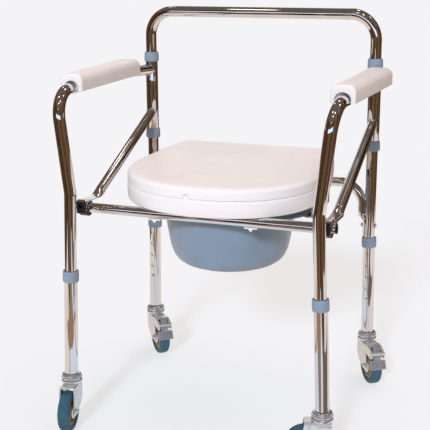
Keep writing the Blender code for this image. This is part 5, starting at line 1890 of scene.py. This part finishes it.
        def skin_at(depth: float) -> np.ndarray:
            """One face of the sheet.

            Args:
                depth: How far it lies behind the outer face.
            Returns:
                A grid of points.
            """
            side = rows_of(outer - depth, heights)
            section = mirrored(chain(side, (outer - bend, top - bend) + (bend - depth) * over), (-1, 1))
            level = np.clip(section[:, 1] + depth, lowest, top)
            first = np.interp(level, front[:, 0], front[:, 1])[:, None]
            last = np.interp(level, back[:, 0], back[:, 1])[:, None]
            fold = np.maximum(last - self.strip, first + 0.3 * (last - first))
            x = np.hstack([first + (fold - self.strip_step - first) * np.linspace(0, 1, 9),
                           fold + (last - fold) * np.linspace(0, 1, 6)])
            sunk = np.clip((top - bend - 0.001 - level) / 0.004, 0, 1)[:, None] * pressed_in
            y = section[:, :1] - np.sign(section[:, :1]) * self.strip_proud * sunk
            return rows_of(x, y, section[:, 1:])

        outside, inside = skin_at(0.0), skin_at(self.sheet)
        skin = Skin().grid(outside, wrap_columns=False).grid(inside[:, ::-1], wrap_columns=False)
        for edge in (0, -1):
            skin.grid(np.stack([outside[:, edge], inside[:, edge]]), wrap_columns=False)
            skin.grid(np.stack([outside[edge], inside[edge]]), wrap_columns=False)
        return skin

    def crown_disc(self) -> Skin:
        """The round crown on the fork: a bright ring with a rolled rim, round the kingpin.

        Returns:
            Its skin.
        """
        radius, hole, top = self.crown / 2, self.kingpin / 2 + self.layout.gap, self.crown_top
        low = self.crown_under + self.sheet - 0.0004
        outline = fillet([(hole, top), (radius - 0.0030, top), (radius, top - 0.0026), (radius, low),
                          (hole, low)], 0.0018)
        return Skin().spin(outline, closed=True)

    def pivot(self) -> tuple[float, float]:
        """The brake pin's place as (x, z)."""
        reach = self.axle_level + self.pedal_clearance
        return (self.trail + reach * math.cos(self.pedal_bearing),
                self.axle_level + reach * math.sin(self.pedal_bearing))

    def brake_house(self) -> Skin:
        """Cheek extensions and the hood over the brake pedal, with its window.

        Returns:
            Their skin.
        """
        x, z = self.pivot()
        top, outer = self.crown_under + self.sheet, self.outer
        rear, bend, end = self.trail + self.behind_axle, x - self.hood_flat, x + 0.0075
        cheek = fillet([(rear - 0.006, top - 0.0015), (bend, top - 0.0015), (end, z + 0.0045),
                        (end, z - 0.0035), (x - self.pedal_pin, z - 0.0052), (rear - 0.002, z)], 0.0022)
        skin = Skin()
        for low, high in ((-outer, -self.inner), (self.inner, outer)):
            skin.plate(cheek, low + 0.0001, high - 0.0001, 0.0003)
        lip, window, half = (x + 0.0080, z + 0.0068), (x - 0.0140, x + 0.0030), 0.0100

        def hood(first: float, last: float) -> np.ndarray:
            """Side view of the hood.

            Args:
                first: Where it begins along x.
                last: Where it ends.
            Returns:
                The outline.
            """
            across = np.array([first, bend, last] if first < bend < last else [first, last])
            height = np.interp(across, [bend, lip[0]], [top - 0.0003, lip[1]])
            upper = rows_of(across, height)
            return np.concatenate([upper, upper[::-1] - (0, self.hood_sheet)])

        skin.plate(hood(rear - self.hood_sheet, window[0]), -outer, outer, 0.0003)
        skin.plate(hood(window[1], lip[0]), -outer, outer, 0.0003)
        for low, high in ((-outer, -half), (half, outer)):
            skin.plate(hood(window[0] - 0.0005, window[1] + 0.0005), low, high, 0.0002)
        return skin

    def pedal(self) -> Skin:
        """The brake pedal: pin, release tab up through the window, and the foot plate.

        The plate has a rolled lip at its head, two ribs across and two along its sides.

        Returns:
            Their skin.
        """
        x, z = self.pivot()
        sheet = self.pedal_sheet
        half = self.outer + 0.0008
        pin = fillet(box(0, -half, self.pedal_pin / 2, half), 0.0006, closed=False, steps=3)
        tab = fillet([(-0.0075, self.tab_height), (-0.0035, self.tab_height), (0.0026, 0.0016),
                      (0.0055, -0.0103), (0.0055 - sheet, -0.0103), (-0.0014, -0.0014),
                      (-0.0055, 0.0013)], 0.0008, steps=3)
        head, foot = np.array(self.plate_head), np.array(self.plate_foot)
        run = foot - head
        out = unit(left_of(run))
        wide = self.pedal_width / 2
        plate = fillet([head - out * sheet, head, foot, foot - out * sheet], 0.0008, steps=3)
        lip = arc(head - out * 0.0008, 0.0015, 0, 360, 16)[:-1]
        skin = Skin().spin(pin, Axis.Y, 24).plate(tab, -self.tab_width / 2, self.tab_width / 2, 0.0005)
        skin.plate(plate, -wide, wide, 0.0006).plate(lip, -wide + 0.0010, wide - 0.0010, 0.0008)
        ribs = ((0.25, 0.35, -0.78, 0.78), (0.81, 0.91, -0.78, 0.78), (0.27, 0.89, -0.80, -0.72),
                (0.27, 0.89, 0.72, 0.80))
        for start, end, low, high in ribs:
            root = np.array([head + run * start, head + run * end])
            outline = fillet(np.concatenate([root, root[::-1] + out * self.rib]), self.rib / 2, steps=2)
            skin.plate(outline, wide * low, wide * high, 0.0002)
        return skin.moved(place((x, 0, z)))

    def axle_bolt(self) -> Skin:
        """The axle: a shank with a domed head on one cheek and a nut on the other.

        Returns:
            Its skin.
        """
        outer = self.outer + self.layout.gap
        head, seat = self.axle_head / 2, outer + 0.0012
        half = chain((self.axle / 2, outer), (head, outer), (head, seat - 0.0003), (head * 0.9, seat),
                     arc((0, seat), (head * 0.86, self.axle_head_height - 0.0012), 0, 90, 6))
        bolt = Skin().spin(mirrored(half[::-1])[::-1], Axis.Y, 32)
        return bolt.moved(place((self.trail, 0, self.axle_level)))

    def wheel_rim(self) -> Skin:
        """The core: a dished disc between its rim and the boss.

        Returns:
            Its skin.
        """
        bore, boss, core = self.axle / 2 + 0.0003, self.hub / 2, self.core / 2
        half, proud, disc = self.tyre_width / 2, self.inner - 0.0003, 0.0038
        side = np.array([(bore, proud - 0.0022), (boss - 0.0016, proud - 0.0022),
                         (boss - 0.0004, proud - 0.0030), (boss + 0.0004, proud - 0.0070),
                         (boss + 0.0016, disc), (core - 0.0062, disc), (core - 0.0052, 0.0050),
                         (core - 0.0048, half - 0.0030), (core - 0.0040, half - 0.0023),
                         (core - 0.0010, half - 0.0022), (core, half - 0.0026)])
        return Skin().spin(mirrored(side)[::-1], Axis.Y, 64, closed=True)

    def wheel_cap(self) -> Skin:
        """The two silver caps over the bearing, one on each side of the core.

        Returns:
            Their skin.
        """
        proud, radius, bore = self.inner - 0.0003, self.hub / 2 - 0.0004, self.axle / 2 + 0.0004
        low = proud - 0.0024
        rim = fillet([(radius, low), (radius, proud - 0.0009), (radius - 0.0025, proud - 0.0002),
                      (radius * 0.62, proud), (radius * 0.56, proud - 0.0006), (bore, proud - 0.0006)],
                     0.0006, closed=False)
        cap = chain((bore, low), rim)
        return Skin().spin(cap * (1, -1), Axis.Y, closed=True).spin(cap, Axis.Y, closed=True)

    def tread(self) -> Skin:
        """The tyre: flat tread, round shoulders and a fine mould line round its middle.

        Returns:
            Its skin.
        """
        half, tread, shoulder = self.tyre_width / 2, self.wheel / 2, self.tyre_shoulder
        seat = self.core / 2 + 0.0003
        right = chain((seat, half - 0.0006), (seat + 0.0008, half),
                      arc((tread - shoulder, half - shoulder), shoulder, 90, 0, 8),
                      (tread, 0.0008), (tread - 0.0002, 0.0003))
        return Skin().spin(mirrored(right), Axis.Y, 96, closed=True)

    def build(self, shop: Workshop) -> None:
        """Makes every piece of the castor.

        Args:
            shop: Makes the pieces.
        """
        at, here = self.corner, self.here(shop)
        wheel = here @ place((self.trail, 0, self.axle_level))
        shop.make("castor_head", self.head().moved(here), POLISHED, "leg", "castor_stem", at, sharp=40.0)
        fork = self.fork_sheet()
        shop.make("castor_crown", self.crown_disc().moved(here), POLISHED, "castor", at=at)
        if self.braked:
            fork.join(self.brake_house())
            shop.make("foot_brake", self.pedal().moved(here), PEDAL, "pedal", "brake_pedal", at)
        shop.make("castor_yoke", fork.moved(here), ZINC, "castor", "castor_fork", at)
        shop.make("axle_bolt", self.axle_bolt().moved(here), POLISHED, "castor", "castor_axle", at)
        shop.make("wheel_rim", self.wheel_rim().moved(wheel), CORE, "wheel", "wheel_core", at)
        shop.make("wheel_cap", self.wheel_cap().moved(wheel), POLISHED, "wheel", at=at)
        shop.make("wheel_tread", self.tread().moved(wheel), TYRE, "wheel", "tyre", at)


@dataclass
class Studio:
    """Plain pale floor, soft light, and the dark room that the chrome shows.

    Places are in the chair's frame. The chair stands on a white sheet. Its front edge comes to a
    point in front of the right leg, and the dark room begins beyond it.
    """

    origin: np.ndarray
    layout: Layout = LAYOUT
    pale: str = "#F1F1F1"
    sheet: str = "#F1E6E0"
    room: float = 3.2
    ceiling: float = 2.7
    centre: tuple[float, float] = (0.10, -0.20)
    tip: tuple[float, float] = (0.285, -0.61)
    edges: tuple[float, float] = (math.radians(216.6), math.radians(350.6))
    sheet_limits: tuple[float, float, float] = (-1.15, 1.45, 1.10)
    room_from: float = math.radians(135)
    room_to: float = math.radians(460)
    window_bearings: tuple[float, float] = (math.radians(240), math.radians(312))
    window_heights: tuple[float, float] = (0.78, 1.45)
    warm: tuple[float, float, float] = (1.0, 0.64, 0.40)
    cool: tuple[float, float, float] = (0.80, 0.87, 1.0)
    warm_level: float = 0.38
    cool_level: float = 0.84
    ambient: float = 0.36
    stripes: tuple[tuple[float, str], ...] = (
        (0.32, "#080504"), (0.42, "#1C120B"), (0.465, "#5A3A20"), (0.478, "#C2A585"), (0.492, "#6B4525"),
        (0.54, "#150D08"), (0.60, "#4A2F1B"), (0.64, "#8A6440"), (0.68, "#120B07"))
    lamps: tuple[tuple[float, float], ...] = (
        (0.7, -1.3), (-0.8, -1.0), (0.2, 0.6), (1.4, 0.2), (-1.3, 0.8), (0.1, -1.9))
    lamp_size: float = 0.22
    lamp_drop: float = 0.05
    room_floor: float = 0.0008
    glare_level: float = 0.0012
    glare_step: float = 0.0002
    floor_size: float = 60.0

    def emitter(self, name: str, colour: str, strength: float = 1.0) -> Material:
        """A plain glowing material for a card.

        Args:
            name: Its name.
            colour: Its colour, as hex.
            strength: Strength of the glow.
        Returns:
            The material.
        """
        material = bpy.data.materials.new(name)
        tree = bare_tree(material)
        glow = add_node(tree, "ShaderNodeEmission", {"Color": linear(colour), "Strength": strength})
        add_node(tree, "ShaderNodeOutputMaterial", {"Surface": glow.outputs[0]})
        material.cycles.emission_sampling = "NONE"
        return material

    def striped(self) -> Material:
        """The dark room: brown stripes that change with the bearing from the chair only.

        Returns:
            The material.
        """
        material = self.emitter("dark_room", "#000000")
        tree = material.node_tree
        where = add_node(tree, "ShaderNodeTexCoord").outputs["Object"]
        parts = add_node(tree, "ShaderNodeSeparateXYZ", {0: where})
        bearing = add_node(tree, "ShaderNodeMath", {0: parts.outputs[1], 1: parts.outputs[0]},
                           operation="ARCTAN2")
        noise = add_node(tree, "ShaderNodeTexNoise", {"W": bearing.outputs[0], "Scale": 4.2, "Detail": 1.6},
                         noise_dimensions="1D")
        ramp = add_node(tree, "ShaderNodeValToRGB", {0: noise.outputs[0]})
        elements = ramp.color_ramp.elements
        while len(elements) < len(self.stripes):
            elements.new(1.0)
        for element, (position, code) in zip(elements, self.stripes):
            element.position = position
            element.color = linear(code)
        glow = next(n for n in tree.nodes if n.type == "EMISSION")
        tree.links.new(ramp.outputs[0], glow.inputs["Color"])
        return material

    def card(self, name: str, surface: np.ndarray, material: Material) -> None:
        """A card that only reflections see.

        Args:
            name: Its name.
            surface: Its grid of points.
            material: What it shows.
        """
        mesh = Skin().grid(surface, wrap_columns=False).mesh(name, self.origin, 40.0)
        card = add_object(name, mesh, material)
        card.visible_camera = False
        card.visible_diffuse = False
        card.visible_shadow = False
        card.visible_transmission = False

    def level_square(self, corner: Sequence[float], size: float) -> np.ndarray:
        """A level square as a grid of two by two, from its corner towards +X and +Y."""
        square = box(0, 0, size, size)[[0, 1, 3, 2]].reshape(2, 2, 2)
        return np.asarray(corner, float) + lift(square)

    def sheet_reach(self, bearings: np.ndarray) -> np.ndarray:
        """Distance from the centre to the sheet's edge.

        A ray meets a line at (n . (p - c)) / (n . d). The two front lines meet at the tip, and the
        farther one counts. The left, right and back limits cut it off.

        Args:
            bearings: Directions from the centre.
        Returns:
            The distances.
        """
        ahead = direction(bearings)
        offset = np.asarray(self.tip) - self.centre
        far = []
        for edge in self.edges:
            normal = np.array([-math.sin(edge), math.cos(edge)])
            normal = -normal if normal[1] > 0 else normal
            facing = ahead @ normal
            far.append(np.where(facing > 1e-3, (normal @ offset) / np.maximum(facing, 1e-3), 9.0))
        reach = np.maximum(far[0], far[1])
        left, right, back = self.sheet_limits
        for limit, facing in ((self.centre[0] - left, -ahead[:, 0]), (right - self.centre[0], ahead[:, 0]),
                              (back - self.centre[1], ahead[:, 1])):
            reach = np.minimum(reach, np.where(facing > 1e-3, limit / np.maximum(facing, 1e-3), 9.0))
        return reach

    def polar(self, bearings: np.ndarray, reach: np.ndarray | float, level: float,
              centre: Sequence[float] | None = None) -> np.ndarray:
        """Points at a distance from a centre: c + r (cos b, sin b).

        Args:
            bearings: Directions from the centre.
            reach: Distance from it.
            level: Height of the points.
            centre: The centre, or None for the room's own.
        Returns:
            The points, one a row.
        """
        middle = self.centre if centre is None else centre
        return rows_of(middle[0] + reach * np.cos(bearings), middle[1] + reach * np.sin(bearings), level)

    def cards(self) -> None:
        """The dark room beyond the sheet, its ceiling, the window and the lamps."""
        dark = self.striped()
        bearings = np.linspace(self.room_from, self.room_to, 240)
        wall = [self.polar(bearings, self.room, level) for level in (-0.01, self.ceiling)]
        self.card("room_wall", np.stack(wall), dark)
        ground = [self.polar(bearings, reach, self.room_floor)
                  for reach in (self.sheet_reach(bearings), self.room)]
        self.card("room_floor", np.stack(ground), dark)
        self.card("room_ceiling", self.level_square((-self.room, -self.room, self.ceiling), 2 * self.room),
                  self.emitter("ceiling", "#6B5D52"))
        bearings = np.linspace(*self.window_bearings, 12)
        window = [self.polar(bearings, self.room - 0.1, level) for level in self.window_heights]
        self.card("window_front", np.stack(window), self.emitter("window", "#D6E4FF", 1.5))
        self.glares()
        lamp = self.emitter("lamp", "#FFF1E0", 7.0)
        for k, (x, y) in enumerate(self.lamps):
            corner = (x, y, self.ceiling - self.lamp_drop)
            self.card(f"lamp_{k}", self.level_square(corner, self.lamp_size), lamp)

    def glares(self) -> None:
        """Painted reflections: glowing floor cards of brown shade and window gleams that the chrome legs
        show.

        Each card lies in front of one foot. Its rows give a distance from the foot and the two
        bearings between which the card lies there.
        """
        lay = self.layout
        front, rear = lay.leg_offset(0.2), lay.rear_offset(0.2)
        # Painted reflection colours: darker shade bands and the window's gleam, seen only in the leg tubes
        colours = {"glare": "#DFE9F8", "shade": "#A79C96", "tan": "#A58468", "brown": "#7A675B",
                   "mauve": "#A8A2B0"}
        gleam, shade, tan, brown, mauve = (
            self.emitter(f"floor_{name}", code) for name, code in colours.items())
        cards = (
            ((-rear, 0), shade, ((0.16, 267, 323), (1.0, 267, 323))),
            ((-rear, 0), gleam, ((0.16, 272, 318), (1.0, 272, 318))),
            ((rear, 0), shade, ((0.16, 268, 308), (0.52, 268, 308))),
            ((rear, 0), gleam, ((0.16, 276, 304), (0.52, 276, 304))),
            ((-front, -lay.depth), gleam, ((0.16, 288, 314), (0.45, 288, 312))),
            ((-front, -lay.depth), tan, ((0.43, 291, 294), (0.55, 257, 330), (0.85, 245, 358))),
            ((-front, -lay.depth), mauve, ((0.43, 293, 298), (0.55, 289, 314), (0.85, 284, 319))),
            ((front, -lay.depth), tan, ((0.16, 232, 264), (0.48, 224, 276), (1.0, 205, 288))),
            ((front, -lay.depth), brown, ((0.16, 286, 340), (0.48, 300, 378), (1.0, 288, 395))),
            ((front, -lay.depth), gleam, ((0.16, 262, 287), (0.48, 272, 302), (1.0, 282, 292))))
        for k, (foot, material, rows) in enumerate(cards):
            level = self.glare_level + self.glare_step * k
            lines = [self.polar(np.radians(row[1:]), row[0], level, foot) for row in rows]
            self.card(f"glare_{k}", np.stack(lines), material)

    def floor(self) -> None:
        """The pale floor. What the camera and reflections see is part glow, so that it stays pale."""
        material = bpy.data.materials.new("pale_floor")
        tree = bare_tree(material)
        light = add_node(tree, "ShaderNodeLightPath")
        diffuse = add_node(tree, "ShaderNodeBsdfDiffuse", {"Color": linear("#8F949B")})
        glow = add_node(tree, "ShaderNodeEmission", {"Color": linear(self.pale), "Strength": 0.71})
        both = add_node(tree, "ShaderNodeAddShader", {0: diffuse.outputs[0], 1: glow.outputs[0]})
        plain = add_node(tree, "ShaderNodeBsdfDiffuse", {"Color": linear("#E6E0DA")})
        seen = add_node(tree, "ShaderNodeMixShader", {0: light.outputs["Is Camera Ray"], 1: plain.outputs[0],
                                                      2: both.outputs[0]})
        sheet = add_node(tree, "ShaderNodeEmission", {"Color": linear(self.sheet)})
        reflected = either(tree, light.outputs["Is Glossy Ray"], light.outputs["Is Transmission Ray"])
        full = add_node(tree, "ShaderNodeMixShader", {0: reflected, 1: seen.outputs[0], 2: sheet.outputs[0]})
        add_node(tree, "ShaderNodeOutputMaterial", {"Surface": full.outputs[0]})
        material.cycles.emission_sampling = "NONE"
        size = self.floor_size
        surface = self.level_square((-size, -size, 0), 2 * size)
        mesh = Skin().grid(surface, wrap_columns=False).mesh("studio_floor", np.zeros(3), 40.0)
        add_object("studio_floor", mesh, material)

    def world(self) -> None:
        """A pale world for camera, glossy and transmitted rays, and a plain soft fill for the rest."""
        world = bpy.data.worlds.new("studio_world")
        bpy.context.scene.world = world
        tree = bare_tree(world)
        light = add_node(tree, "ShaderNodeLightPath")
        fill = add_node(tree, "ShaderNodeBackground",
                        {"Color": (0.96, 0.97, 1.0, 1.0), "Strength": self.ambient})
        pale = add_node(tree, "ShaderNodeBackground", {"Color": linear(self.pale), "Strength": 1.0})
        first = either(tree, light.outputs["Is Camera Ray"], light.outputs["Is Glossy Ray"])
        both = either(tree, first, light.outputs["Is Transmission Ray"])
        mix = add_node(tree, "ShaderNodeMixShader", {0: both, 1: fill.outputs[0], 2: pale.outputs[0]})
        add_node(tree, "ShaderNodeOutputWorld", {"Surface": mix.outputs[0]})

    def sun(self, name: str, level: float, colour: Sequence[float], bearing: float, height: float,
            spread: float) -> None:
        """A broad far light. A surface that faces it renders at its colour times level.

        Args:
            name: Name of the lamp.
            level: Share of a plain full level.
            colour: Colour of the light.
            bearing: Direction that it comes from, in degrees from +X towards +Y.
            height: Its height over the horizon, in degrees.
            spread: How wide it looks, in degrees.
        """
        data = bpy.data.lights.new(name, "SUN")
        data.energy = level * math.pi
        data.color = colour
        data.angle = math.radians(spread)
        lamp = add_object(name, data)
        lamp.rotation_euler = (math.radians(90 - height), 0, math.radians(bearing + 90))
        lamp.visible_glossy = False

    def build(self) -> None:
        """Sets up the whole stage."""
        self.floor()
        self.world()
        self.cards()
        self.sun("warm_top", self.warm_level, self.warm, 60, 74, 60)
        self.sun("cool_front", self.cool_level, self.cool, -88, 28, 9)


@dataclass(frozen=True)
class Viewpoint:
    """The photo's camera, in the chair's frame."""

    spot: tuple[float, float, float] = (0.6043, -1.9191, 0.8687)
    yaw: float = math.radians(20.0756)
    pitch: float = math.radians(14.935)
    roll: float = math.radians(-0.3064)
    lens: float = 82.36
    sensor: float = 36.0

    def build(self, origin: np.ndarray) -> None:
        """Makes the camera.

        It looks along (-sin yaw cos pitch, cos yaw cos pitch, -sin pitch), rolled about that line.

        Args:
            origin: The chair's place.
        """
        level = np.array([math.cos(self.yaw), math.sin(self.yaw), 0.0])
        ahead = np.array([-level[1] * math.cos(self.pitch), level[0] * math.cos(self.pitch),
                          -math.sin(self.pitch)])
        up = np.cross(level, ahead)
        right = math.cos(self.roll) * level + math.sin(self.roll) * up
        above = -math.sin(self.roll) * level + math.cos(self.roll) * up
        matrix = Matrix.Identity(4)
        for k, column in enumerate((right, above, -ahead, np.array(self.spot) + origin)):
            matrix.col[k][:3] = column
        data = bpy.data.cameras.new("photo_camera")
        data.lens = self.lens
        data.sensor_width = self.sensor
        data.clip_end = 200.0
        camera = add_object("photo_camera", data)
        camera.matrix_world = matrix
        bpy.context.scene.camera = camera


def chair_origin() -> np.ndarray:
    """The chair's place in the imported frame: midway between the two upper collars, on the floor.

    Returns:
        The place.
    """
    corners = [np.array(v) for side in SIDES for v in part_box(f"upper_collar_{side}")]
    middle = np.mean(corners, axis=0)
    return np.array([middle[0], middle[1], 0.0])


def main() -> None:
    """Builds the camera, the stage and every sub-assembly."""
    bpy.context.scene.view_settings.view_transform = "Standard"
    shop = Workshop(chair_origin())
    Viewpoint().build(shop.origin)
    Studio(shop.origin).build()
    BackFrame().build(shop)
    Crossbars().build(shop)
    for name, side in SIDES.items():
        side_frame = SideFrame(name, side)
        side_frame.build(shop)
        Brace(name, side).build(shop)
        ArmPad(side_frame).build(shop)
    for corner in CORNERS:
        Leg(corner).build(shop)
        Castor(corner).build(shop)
    Seat().build(shop)
    Bucket().build(shop)


if __name__ == "__main__":
    main()
